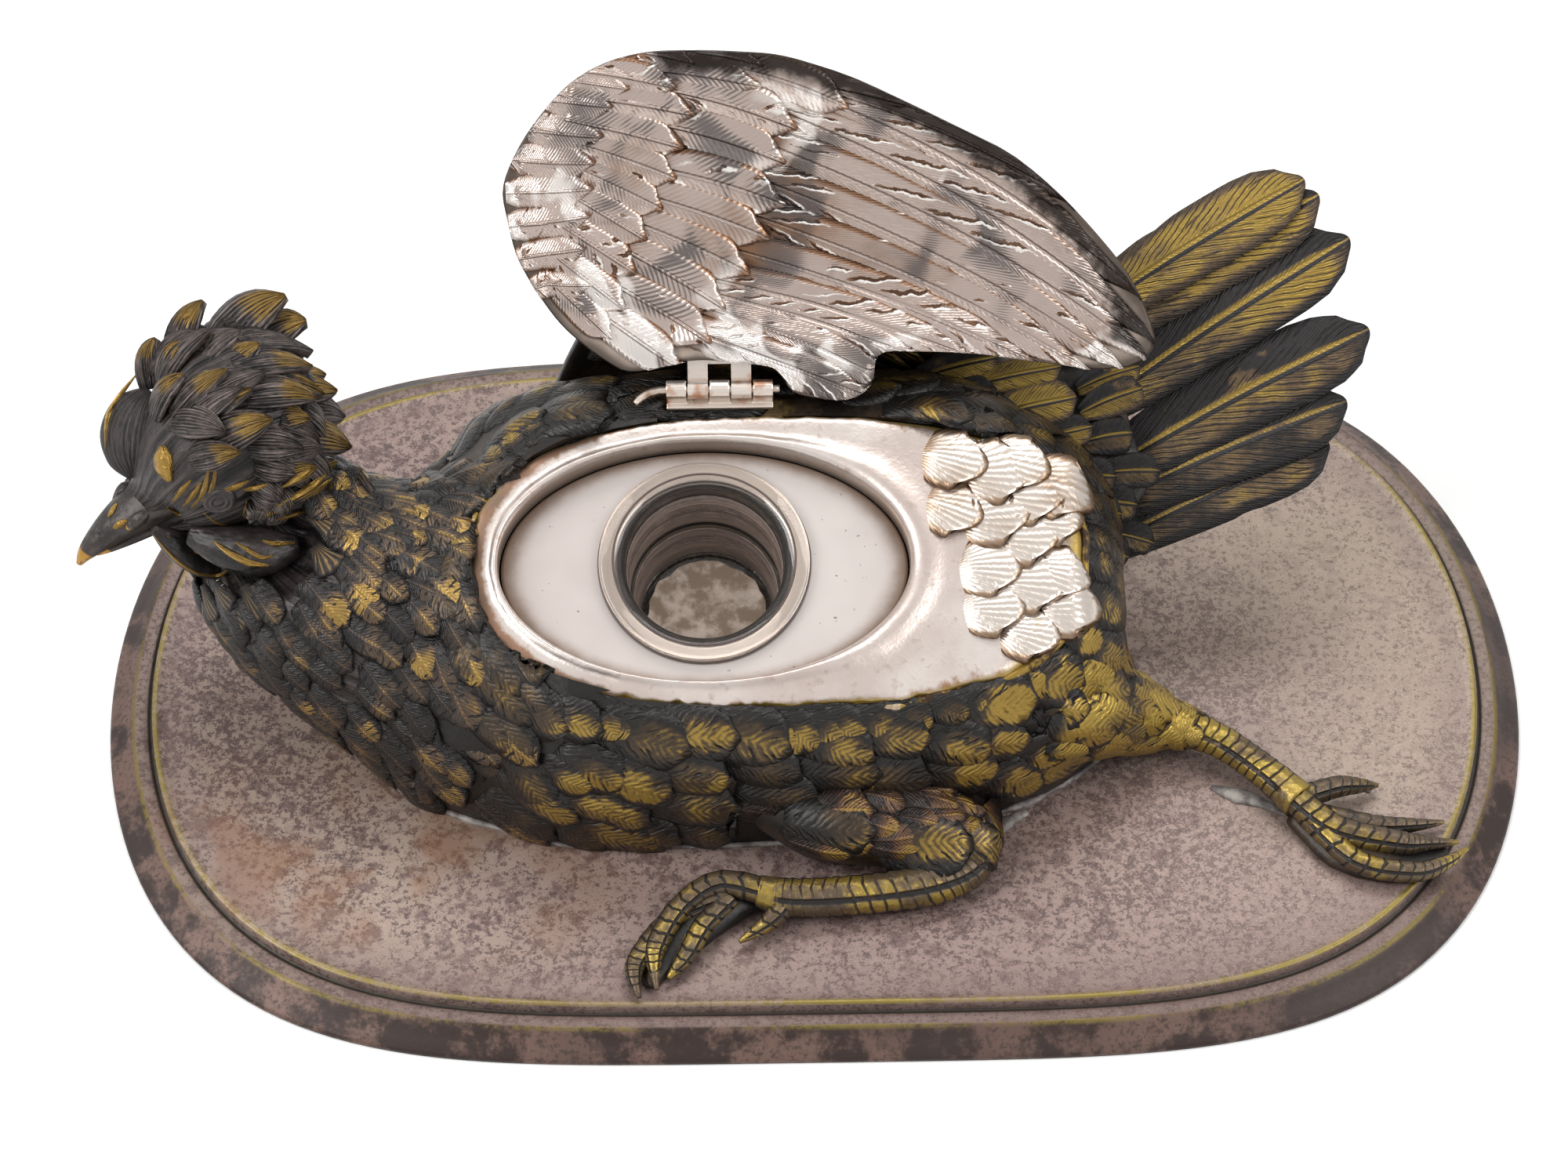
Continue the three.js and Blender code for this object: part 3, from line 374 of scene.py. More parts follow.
# %% One finish
class Finish:
    def __init__(self, name):
        self.material = bpy.data.materials.new(name)
        self.material.use_nodes = True
        self.tree = self.material.node_tree
        self.shader = self.tree.nodes["Principled BSDF"]

    def node(self, kind, settings=None, *values, out=0, **named):
        made = self.tree.nodes.new(kind)
        for key, value in (settings or {}).items():
            setattr(made, key, value)
        for socket, value in list(zip(made.inputs, values)) + [
                (made.inputs[key], value) for key, value in named.items()]:
            self.feed(socket, value)
        return Wire(self, made.outputs[out])

    def feed(self, socket, value):
        if isinstance(value, Wire):
            self.tree.links.new(value.socket, socket)
        elif value is not None:
            socket.default_value = value

    def places(self):
        return self.node("ShaderNodeTexCoord", out="Object")

    def attribute(self, name, out="Vector"):
        return self.node("ShaderNodeAttribute", {"attribute_name": name}, out=out)

    def split(self, vector):
        made = self.node("ShaderNodeSeparateXYZ", None, vector)
        return [Wire(self, output) for output in made.socket.node.outputs]

    def join(self, x, y, z):
        return self.node("ShaderNodeCombineXYZ", None, x, y, z)

    def noise(self, vector, scale, detail=3.0, roughness=0.55, distortion=0.0):
        return self.node("ShaderNodeTexNoise", None, Vector=vector, Scale=scale, Detail=detail,
                         Roughness=roughness, Distortion=distortion)

    def step(self, value, low, high):
        settings = {"interpolation_type": "SMOOTHSTEP"}
        return self.node("ShaderNodeMapRange", settings, value, low, high, 0.0, 1.0)

    def mix(self, share, first, second):
        made = self.tree.nodes.new("ShaderNodeMix")
        made.data_type = "RGBA"
        made.clamp_factor = True
        self.feed(made.inputs[0], share)
        self.feed(made.inputs[6], first)
        self.feed(made.inputs[7], second)
        return Wire(self, made.outputs[2])

    def layered(self, colour, *layers):
        """Stains laid over a colour one after another, each a share and its red, green and blue"""
        for share, stain in layers:
            colour = self.mix(share, colour, tone(*stain))
        return colour

    def maths(self, operation, *values):
        return self.node("ShaderNodeMath", {"operation": operation}, *values)

    def sine(self, value):
        return self.maths("SINE", value)

    def slits(self, across, way, lot, wander, count, slant, share):
        """Thin slanting cuts from the edge of a vane inwards, some of them left out"""
        aside = abs(across)
        phase = way * count - aside * slant + wander * 0.9 + lot * 7.0
        saw = self.maths("FRACT", phase)
        gate = self.noise(self.join(phase * 0.45, across * 1.2, lot * 30.0), 1.0, 1.0)
        kept = self.step(gate, 1.0 - share, 1.06 - share) * self.step(aside, 0.12, 0.36)
        return kept, saw

    def clamp(self, value):
        return self.node("ShaderNodeClamp", None, value, 0.0, 1.0)

    def surface(self, colour, rough, metal, height=None, depth=0.0003, strength=1.0, **plain):
        self.feed(self.shader.inputs["Base Color"], colour)
        self.feed(self.shader.inputs["Roughness"], rough)
        self.feed(self.shader.inputs["Metallic"], metal)
        if height is not None:
            bump = self.node("ShaderNodeBump", None, Strength=strength, Distance=depth,
                             Height=height)
            self.feed(self.shader.inputs["Normal"], bump)
        for key, value in plain.items():
            self.shader.inputs[key.replace("_", " ")].default_value = value
        return self.material


# %% [markdown]
# ## Bronze feathers
# The bird was patinated nearly black and then rubbed back, so the raised middle of each feather
# shows olive gold and the gaps stay dark. The finish reads each feather's own across and along
# numbers for the shaft, the slanting barbs and the rubbed face.

# %% Bronze feather finish
def feather_finish(name, dark, mid, gold, rubbed=0.5, barbs=15.0, slant=5.0, splits=1.0,
                   root_dark=0.3, one_vane=0.0, vein=0.25, cuts=(5.0, 2.0, 0.5), end_gold=0.0,
                   middle=(0.6, 0.95), uneven=1.0):
    """
    The numbers are shares unless named here: barbs and cuts[0] are counts along the feather,
    slant leans them back, and one_vane darkens the vane that the next feather shades.
    """
    look = Finish(name)
    across, way, top = look.split(look.attribute("grain"))
    lot = look.attribute("lot", out="Fac")
    places = look.places()
    aside = abs(across)
    wander = look.noise(places, 260.0, 2.0)
    cloud = look.noise(places, 38.0, 3.0)
    speck = look.noise(places, 1500.0, 2.0)
    ridge = way * barbs - aside * slant + wander * 1.6
    barb = look.sine(ridge * (2 * math.pi)) * 0.5 + 0.5
    coarse = look.noise(look.join(way * 5.0 - aside * 2.2, aside * 0.9, lot * 40.0), 2.4, 2.0)
    kept, saw = look.slits(across, way, lot, wander, *cuts)
    slit = kept * (1.0 - look.step(abs(saw - 0.5), 0.04, 0.13))
    split = look.clamp(look.step(coarse, 0.6, 0.7) * look.step(aside, 0.2, 0.5) * splits + slit)
    shaft = 1.0 - look.step(aside, 0.03, 0.13)
    face = (look.step(way, root_dark, root_dark + 0.35)
            * (1.0 - look.step(aside + (coarse - 0.5) * 0.3, *middle))
            * (1.0 - look.step(way, 0.88, 1.0) * 0.8) * top)
    patchy = look.noise(places, 110.0, 3.0)
    from_middle, from_axis, _ = look.split(places)
    rear = look.step(from_middle, 0.016, 0.04) * look.step(0.0 - from_axis, 0.01, 0.03)
    rubbing = (0.35 + rubbed + rear * end_gold + (cloud - 0.5) * (0.6 + 1.3 * uneven)
               + (patchy - 0.5) * 1.6)
    if not one_vane:
        rubbing = rubbing + (lot - 0.5) * 0.8 * uneven
    worn = look.clamp(face * rubbing - split * 0.95 + shaft * vein)
    if one_vane:
        other = 0.0 - across
        gutter = look.step(other, 0.03, 0.07) * (1.0 - look.step(other, 0.12, 0.2))
        far_vane = look.step(across, 0.06, 0.2) * look.step(lot, 0.1, 0.2)
        worn = look.clamp(worn + 0.3 - look.step(lot, 0.2, 0.9) * 0.55 - gutter * 1.2
                          - far_vane * one_vane * (1.0 - look.step(patchy, 0.56, 0.7) * 0.6))
    worn = look.clamp(worn * (0.7 + barb * 0.3) + (speck - 0.5) * 0.3)
    colour = look.layered(tone(*dark), (look.step(worn, 0.06, 0.5), mid),
                          (look.step(worn, 0.42, 0.78), gold))
    height = barb * 0.22 + shaft * vein * 2.0 - split * 1.2 + speck * 0.25 + coarse * 0.6
    return look.surface(colour, 0.42 - worn * 0.1 + (speck - 0.5) * 0.12,
                        0.75 * (0.35 + worn * 0.65), height, 0.00035, 0.9)


BLACK, BROWN, GOLD = (25, 22, 20), (70, 56, 41), (152, 125, 58)
bronze_feather = feather_finish("bronze_feather", BLACK, BROWN, GOLD, rubbed=0.16, barbs=11.0,
                                slant=4.0, root_dark=0.2, splits=1.6, vein=0.05,
                                end_gold=0.4, middle=(0.4, 0.72), uneven=0.3)
dark_feather = feather_finish("dark_bronze_feather", (26, 23, 22), (84, 68, 54), (150, 121, 64),
                              rubbed=0.16, cuts=(7.0, 0.6, 0.6))
tail_feather = feather_finish("tail_feather_bronze", (26, 22, 21), (96, 78, 58), (152, 126, 60),
                              rubbed=0.34, barbs=52.0, slant=14.0, root_dark=-0.4, splits=0.6,
                              one_vane=1.0, vein=0.6, cuts=(22.0, 6.0, 0.64))
red_feather = feather_finish("red_brown_feather", (38, 29, 26), (100, 72, 54), (146, 117, 58),
                             rubbed=0.18)
thigh_feather = feather_finish("gilded_thigh_feather", (30, 27, 24), (104, 86, 52),
                               (160, 134, 62), barbs=11.0, slant=4.0, root_dark=0.05, vein=0.05)


def plain_bronze(name, dark, mid, gold):
    look = Finish(name)
    places = look.places()
    cloud = look.noise(places, 60.0, 4.0)
    speck = look.noise(places, 900.0, 3.0)
    worn = look.clamp(0.25 + (cloud - 0.5) * 2.2 + (speck - 0.5) * 0.5)
    colour = look.layered(tone(*dark), (look.step(worn, 0.2, 0.5), mid),
                          (look.step(worn, 0.5, 0.9), gold))
    return look.surface(colour, 0.45 + (speck - 0.5) * 0.2, 0.7 * (0.4 + worn * 0.6),
                        speck * 0.6 + cloud, 0.0003, 0.6)


skin_bronze = plain_bronze("skin_bronze", BLACK, (58, 46, 36), (120, 98, 56))
print("bronze finishes ready")


# %% [markdown]
# ## The oval base
# A turned-looking oval plinth: a flared foot, a flat ledge, a dark groove, and a rolled rim round a
# gently dished plate. One outline is pulled through a row of offsets and heights, which keeps the
# mouldings even all the way round. The patina is mauve and speckled, worn to gold on each edge.

# %% Base shape
PLATE_HALF = (123.6, 76.0)
OVAL_POWERS = (4.4, 2.0)
BASE_PROFILE = [
    (8.3, 0.0), (8.3, 0.5), (7.9, 0.95), (6.3, 1.9), (4.6, 3.2), (3.7, 4.05), (3.35, 4.2),
    (2.2, 4.16), (1.1, 4.12), (0.8, 3.95), (0.6, 3.6), (0.15, 3.6), (0.0, 3.9), (0.0, 5.5),
    (-0.12, 5.78), (-0.45, 5.9), (-0.95, 5.86), (-1.6, 5.6), (-2.4, 5.45), (-4.0, 5.41),
    (-9.0, 5.4), (-22.0, 5.4), (-45.0, 5.4),
]
BASE_SEGMENTS = 240


def oval_reach(angle, half, powers):
    x, y = abs(math.cos(angle)) / half[0], abs(math.sin(angle)) / half[1]
    low, high = 0.0, 2 * sum(half)
    for _ in range(40):
        middle = (low + high) / 2
        if (middle * x) ** powers[0] + (middle * y) ** powers[1] < 1:
            low = middle
        else:
            high = middle
    return low


def oval_place(angle, grown, height, half=PLATE_HALF, powers=OVAL_POWERS):
    reach = oval_reach(angle, (half[0] + grown, half[1] + grown), powers)
    return Vector((reach * math.cos(angle), reach * math.sin(angle), height))


def ringed_shell(bm, place, count, segments, close=True):
    """Rings pulled from one to the next; place(angle, number) gives a point and its grain"""
    grain = bm.verts.layers.float_vector["grain"]
    ring = bmesh.ops.create_circle(bm, cap_ends=close, segments=segments, radius=1)["verts"]
    angles = {vert: math.atan2(vert.co.y, vert.co.x) for vert in ring}
    edges = list({edge for vert in ring for edge in vert.link_edges})
    for vert in ring:
        vert.co, vert[grain] = place(angles[vert], 0)
    for number in range(1, count):
        angle_at = {tuple(vert.co): angles[vert] for vert in ring}
        ring, edges = pull_ring(bm, edges)
        angles = {vert: angle_at[tuple(vert.co)] for vert in ring}
        for vert in ring:
            vert.co, vert[grain] = place(angles[vert], number)
    if close:
        bmesh.ops.contextual_create(bm, geom=edges)


base = fresh()


def base_place(angle, number):
    grown, height = BASE_PROFILE[number]
    return oval_place(angle, grown, height), Vector((number, grown, height))


ringed_shell(base, base_place, len(BASE_PROFILE), BASE_SEGMENTS)

# %% Base finish
def base_patina():
    look = Finish("mauve_base_patina")
    step, noisy = look.step, look.noise
    _, grown, height = look.split(look.attribute("grain"))
    places = look.places()
    along, back, _ = look.split(places)
    left, front = 0.0 - along, 0.0 - back
    fine, grit = noisy(places, 1000.0, 4.0, 0.75), noisy(places, 2600.0, 2.0, 0.6)
    cloud, broad = noisy(places, 22.0, 4.0, 0.6), noisy(places, 9.0, 2.0, 0.5)
    blotch, brown_noise = noisy(places, 300.0, 5.0, 0.75), noisy(places, 60.0, 4.0)
    mottle = noisy(places, 70.0, 5.0, 0.7)
    quiet = step(along, 0.03, 0.09)
    left_dark = step(left, 0.045, 0.11) * step(cloud, 0.36, 0.62)
    right_green = step(along, 0.055, 0.1) * (1.0 - step(abs(back), 0.025, 0.06))
    # orange-brown patches on the plate along the line under the breast
    brown_by_breast = ((1.0 - step(abs(back + 0.045), 0.004, 0.03)) * step(brown_noise, 0.42, 0.6)
                   * step(left, 0.02, 0.07))
    edge_shade = step(grown, -11.0, -2.2) * (1.0 - step(grown, -2.2, -1.6))
    plate = look.layered(
        tone(158, 140, 127),
        (step(broad, 0.35, 0.65), (146, 125, 118)),
        (right_green * 0.25, (150, 142, 120)),
        (left_dark * 0.1, (96, 80, 76)),
        (step(blotch, 0.48, 0.6) * (0.8 - quiet * 0.55), (92, 72, 69)),
        # painted shade: the front of the plate is darker
        (step(front, 0.045, 0.08) * 0.5, (104, 82, 78)),
        (step(fine + (cloud - 0.5) * 0.3, 0.52, 0.57) * (0.85 - quiet * 0.3), (82, 65, 64)),
        (step(grit, 0.56, 0.7) * (0.3 + quiet * 0.3), (184, 168, 153)),
        (brown_by_breast * 0.55, (120, 78, 46)),
        (edge_shade * 0.35, (112, 92, 88)))
    flare = look.layered(
        tone(42, 26, 20),
        (step(mottle, 0.44, 0.56), (100, 77, 68)),
        (step(fine, 0.5, 0.62) * 0.7, (44, 32, 28)),
        (step(noisy(places, 14.0, 2.0), 0.46, 0.6) * 0.7, (50, 37, 33)))
    outside = step(grown, 2.9, 3.6)
    ledge = step(grown, 0.7, 1.0) * (1.0 - outside)
    groove = step(grown, -0.02, 0.12) * (1.0 - step(grown, 0.8, 1.3))
    rim_edge = step(height, 5.5, 5.75) * step(grown, -1.5, -0.6)
    ledge_edge = step(grown, 2.95, 3.3) * (1.0 - step(grown, 3.6, 4.2))
    wear = step(noisy(places, 26.0, 3.0) + (fine - 0.5) * 0.7, 0.38, 0.6)
    gilt = look.clamp(rim_edge * (0.35 + wear * 0.6) + ledge_edge * wear * 0.6)
    colour = look.layered(look.mix(outside, plate, flare), (ledge * 0.5, (80, 62, 57)),
                          (groove * 0.92, (42, 38, 30)), (gilt, (128, 112, 50)))
    return look.surface(colour, 0.5 + (fine - 0.5) * 0.3 - gilt * 0.1, 0.28 + gilt * 0.3,
                        fine * 0.6 + grit * 0.4, 0.00012, 0.5)


base_piece = finish_piece(base, "patinated_base", "root", "base_bronze", base_patina())
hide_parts("base_plinth")

# %% [markdown]
# ## Grounds for the feathers
# Feathers are laid on the CAD skin. A tree of its faces answers where the nearest skin is and
# which way it faces. Rays shot towards the middle of a limb find the outside, so roots start on
# what is seen. The collar's own oval keeps feathers out of the well.

# %% Grounds
BODY_ROWS = [
    (55.0, 6.3, 18.66, 18.48, 15.12), (53.72, 6.3, 18.66, 24.36, 23.22),
    (49.4, 5.88, 18.39, 29.4, 29.7), (40.6, 5.04, 17.9, 35.28, 36.18),
    (25.0, 3.53, 17.42, 41.16, 42.12), (5.0, 2.52, 16.88, 43.26, 42.66),
    (-20.04, 2.02, 16.88, 44.1, 42.98), (-43.0, 1.01, 17.9, 42.84, 42.01),
    (-56.04, 0.0, 19.2, 39.9, 38.5), (-65.96, -1.68, 21.9, 34.44, 32.99),
    (-73.96, -2.1, 24.92, 27.72, 27.0), (-81.96, -1.68, 28.38, 22.51, 23.0),
    (-91.0, 1.68, 32.92, 19.99, 20.52), (-97.96, 5.88, 39.88, 17.47, 17.5),
    (-101.8, 10.0, 47.87, 14.53, 14.53),
]
WELL = Vector((-19.8, -10.1, 48.5))
WELL_TILT = math.radians(20)
WELL_UP = Vector((0, -math.sin(WELL_TILT), math.cos(WELL_TILT)))
WELL_BACK = Vector((0, math.cos(WELL_TILT), math.sin(WELL_TILT)))
COLLAR_HALF = (54.0, 27.2)
COLLAR_SHIFT = 13.0
COLLAR_POWER = 2.6
DEEPEST_FEATHER = 9  # how far under the collar's plane feathers may still be in its way


def in_well(point):
    offset = point - WELL
    return offset.x, offset.dot(WELL_BACK), offset.dot(WELL_UP)


def from_well(along, back, rise):
    return WELL + Vector((along, 0, 0)) + WELL_BACK * back + WELL_UP * rise


def collar_level(along, back, grown=0.0):
    return (abs((along - COLLAR_SHIFT) / (COLLAR_HALF[0] + grown)) ** COLLAR_POWER
            + abs(back / (COLLAR_HALF[1] + grown)) ** COLLAR_POWER)


def over_collar(point, grown=0.6):
    along, back, rise = in_well(point)
    if rise < -DEEPEST_FEATHER:
        return False
    near_hinge = -8 < along < 14 and 20 < back < 36
    return collar_level(along, back, grown) < 1 or near_hinge


bird_copy = solid_copy("bird_body", "head_and_neck", "near_leg", "far_leg")
bird_ground = BVHTree.FromBMesh(bird_copy)
bird_copy.free()
FOOT_Z = 5.7
print("the well stands", round(WELL.z, 1), "mm up, tilted", round(math.degrees(WELL_TILT)), "degrees")

# %% [markdown]
# ## Plumage over the body, neck and thighs
# Rows of feathers run back along a limb, each row shifted half a feather against the last. Their
# size follows the place: small on the neck, long and narrow on the breast, broad on the flank.

# %% Plumage
BODY_SIZES = [  # share from the rump, length, half width, lift
    (0.0, 9.5, 4.4, 1.0), (0.12, 12.0, 5.2, 1.3), (0.3, 14.5, 5.8, 1.7), (0.5, 15.0, 5.6, 1.8),
    (0.6, 14.5, 4.8, 1.7), (0.68, 13.5, 4.2, 1.6), (0.8, 10.5, 3.6, 1.3), (1.0, 6.5, 2.7, 0.9),
]


def row_length(rows):
    points = [Vector(curve_at(rows, k / 60)[:3]) for k in range(61)]
    return sum((b - a).length for a, b in zip(points, points[1:]))


SPREAD = 1.5  # half widths from one feather of a row to the next
JITTER = 0.3  # lengths by which a root may stray along its row


def plume(bm, rows, sizes, low, high, flow_at, blank, keep, first=0.0, last=1.0, ratio=0.4):
    """Rows of feathers round a limb, ratio lengths apart; gives how many were laid"""
    total = row_length(rows)
    share, odd, laid = first, False, 0
    while share < last:
        length, half, lift = table_at(sizes, share)
        centre, ahead, side, rise, width, height = station(rows, share)
        angle = low + (0.5 if odd else 0.0) * SPREAD * half / max(width, height)
        while angle < high:
            outward = rise * math.cos(angle) + side * math.sin(angle)
            hit, normal, _, _ = bird_ground.ray_cast(centre + outward * 150, -outward)
            step = SPREAD * half / max(width, height, 3)
            if hit is not None and (hit - centre).length > 2:
                step = SPREAD * half / (hit - centre).length
                shaken = hit + ahead * chance.uniform(-1, 1) * JITTER * length
                flow = flow_at(hit, -ahead)
                tip = hit + flow.normalized() * length * 0.8
                if keep(hit) and keep(tip):
                    scale = chance.uniform(0.8, 1.28)
                    turn = Matrix.Rotation(chance.uniform(-0.26, 0.26), 3, normal)
                    lay(bm, blank, scale_on(bird_ground, shaken, turn @ flow, length * scale,
                                            half * scale, lift=lift))
                    laid += 1
            angle += step
        share += ratio * length / total
        odd = not odd
    return laid


def body_flow(point, along):
    breast = math.exp(-((point.x + 62) / 13) ** 2)
    toward_viewer = smooth_step(30, -10, point.y)
    return (along + Vector((0, -1.0, -0.35)) * 1.3 * breast * toward_viewer
            + Vector((0, 0, -0.3)))


def on_body(point):
    shank = point.y < -48 and point.z < 15 and point.x < 36
    far_shank = point.x > 62 and point.z < 17
    return point.z > FOOT_Z + 0.6 and not over_collar(point) and not shank and not far_shank


# The cheek stands on the neck here, so the neck is cut back under it, seen from the front
CHEEK_LINE = (Vector((-112, 1.6, 41.0)), Vector((-95, -1.6, 42.5)))
TO_VIEWER = Vector((0, -0.64, 0.77))


def cheek_hollow(point):
    start, end = CHEEK_LINE
    line = end - start
    share = min(max((point - start).dot(line) / line.length_squared, 0), 1)
    offset = point - (start + line * share)
    if offset.dot(TO_VIEWER) < -4:
        return 0.0
    return 1 - smooth_step(4.0, 9.5, (offset - TO_VIEWER * offset.dot(TO_VIEWER)).length)


# %% Flank and neck
plumage = fresh()
count = plume(plumage, BODY_ROWS, BODY_SIZES, math.radians(-118), math.radians(118), body_flow,
              small_blank, lambda p: on_body(p) and p.x > -66, first=0.01, last=0.8)
FILLERS = [  # root on the flank, then length and half width, where the rows leave bare skin
    ((-54.0, -33.0, 38.5), 12.0, 5.0), ((-56.5, -28.0, 44.5), 11.0, 4.6),
    ((-50.0, -39.0, 28.0), 12.0, 4.8), ((35.0, -35.0, 22.5), 11.0, 5.2),
    ((31.0, -36.5, 15.5), 11.0, 5.0), ((-27.0, -43.0, 12.5), 12.0, 5.0),
    ((-17.0, -43.0, 13.5), 12.0, 5.0), ((-36.0, -42.5, 12.5), 12.0, 5.0),
]
for root, length, half in FILLERS:
    lay(plumage, small_blank, scale_on(bird_ground, Vector(root), Vector((1, 0, -0.35)), length,
                                       half, lift=1.7), 0.6)
finish_piece(plumage, "flank_feathers", "root", "bird_bronze", bronze_feather)
print("flank feathers:", count)

HEAD_AT = Vector((-106, 12.4, 55))
neck_plumage = fresh()
count = plume(neck_plumage, BODY_ROWS, BODY_SIZES, math.radians(-178), math.radians(178),
              body_flow, small_blank,
              lambda p: on_body(p) and p.x <= -56 and (p - HEAD_AT).length > 16.5
              and cheek_hollow(p) < 0.3,
              first=0.6, last=1.0, ratio=0.4)
finish_piece(neck_plumage, "neck_feathers", "root", "bird_bronze", dark_feather)
print("neck feathers:", count)

for node in ("bird_body", "head_and_neck", "near_leg", "far_leg", "tail_fan", "rear_wing"):
    paint_node(node, skin_bronze)

# %% [markdown]
# ## Silvered collar
# The top of the back is one silvered casting: a smooth border rolls up round the oval mouth, the
# left stays plain, the right breaks into big scales, and the rim dips raggedly into the bronze
# feathers. Rings are pulled from the mouth to the rim, and the rim's reach wavers like a file cut.

# %% Collar plate
TRAY_HALF = (36.6, 22.6)
BORDER_SHARE, BORDER_WIDTH = 0.36, 7.0  # the rolled border, as a share of the way to the rim, in mm
COLLAR_RINGS = [  # share from mouth to rim, rise above the plate
    (0.0, -4.6), (0.0, -2.6), (0.005, -0.4), (0.02, 0.35), (0.07, 0.95), (0.13, 1.2), (0.2, 1.1),
    (0.28, 0.7), (0.36, 0.42), (0.5, 0.36), (0.65, 0.34), (0.8, 0.3), (0.9, 0.22), (0.96, 0.0),
    (0.99, -0.5), (1.0, -1.4), (0.98, -2.2), (0.9, -2.3),
]


def ellipse_reach(angle, half):
    return 1 / math.hypot(math.cos(angle) / half[0], math.sin(angle) / half[1])


def collar_reach(angle):
    """Reach of the collar's rim from the middle of the mouth."""
    low, high = 5.0, 90.0
    for _ in range(30):
        middle = (low + high) / 2
        along, back = middle * math.cos(angle), middle * math.sin(angle)
        if collar_level(along, back, 0.2) < 1:
            low = middle
        else:
            high = middle
    ragged = noise.noise(Vector((math.cos(angle) * 9, math.sin(angle) * 9, 3.1))) * 0.9
    ragged += noise.noise(Vector((math.cos(angle) * 31, math.sin(angle) * 31, 7.7))) * 0.5
    return low + ragged * (0.4 if math.sin(angle) > 0.4 else 1.0)


def collar_place(angle, number):
    share, rise = COLLAR_RINGS[number]
    mouth, rim = ellipse_reach(angle, TRAY_HALF), collar_reach(angle)
    border = min(BORDER_WIDTH / BORDER_SHARE, max(rim - mouth, 4.0))
    if share <= BORDER_SHARE:
        reach = mouth + share * border
    else:
        inner = mouth + BORDER_SHARE * border
        reach = blend(inner, rim, (share - BORDER_SHARE) / (1 - BORDER_SHARE))
    spot = Vector((math.cos(angle) * 4, math.sin(angle) * 4, reach * 0.15))
    ripple = noise.noise(spot) * 0.16 if share > 0.1 else 0
    along, back = reach * math.cos(angle), reach * math.sin(angle)
    return from_well(along, back, rise + ripple), Vector((share, along / 60, back / 60))


collar = fresh()
ringed_shell(collar, collar_place, len(COLLAR_RINGS), 220, close=False)


def silver_finish(name):
    look = Finish(name)
    share, along, _ = look.split(look.attribute("grain"))
    places = look.places()
    cloud = look.noise(places, 45.0, 4.0)
    fine = look.noise(places, 420.0, 4.0, 0.65)
    speck = look.noise(places, 1600.0, 2.0)
    left = look.step(0.0 - along, 0.1, 0.55)
    rim = look.step(share + (fine - 0.5) * 0.35 + (cloud - 0.5) * 0.25 + left * 0.34, 0.82, 1.0)
    silver = look.layered(tone(216, 206, 199), (look.step(cloud, 0.35, 0.65), (196, 181, 173)),
                          (look.step(fine, 0.55, 0.72) * 0.5, (156, 136, 124)))
    stained = look.layered(tone(132, 88, 52), (look.step(cloud, 0.42, 0.6), (90, 66, 40)))
    gold_rim = look.step(share + (cloud - 0.5) * 0.2, 0.9, 0.98)
    mouth = 1.0 - look.step(share, 0.0, 0.035)
    colour = look.layered(look.mix(rim * 0.85, silver, stained), (gold_rim * 0.8, (176, 150, 70)),
                          (mouth * 0.55, (120, 104, 88)))
    return look.surface(colour, 0.24 + fine * 0.16 + rim * 0.12, 0.72,
                        fine * 0.7 + speck * 0.3 + cloud, 0.0003, 0.35)


silver_collar = silver_finish("silvered_collar")
collar_piece = finish_piece(collar, "silver_collar", "root", "silvered_bronze", silver_collar)
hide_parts("well_collar")

# %% [markdown]
# ## Scales on the collar
# The right third of the collar carries large overlapping scales, each with a fan of fine lines
# like a cockle shell, all pointing to the tail. They are laid on the collar's own plane.

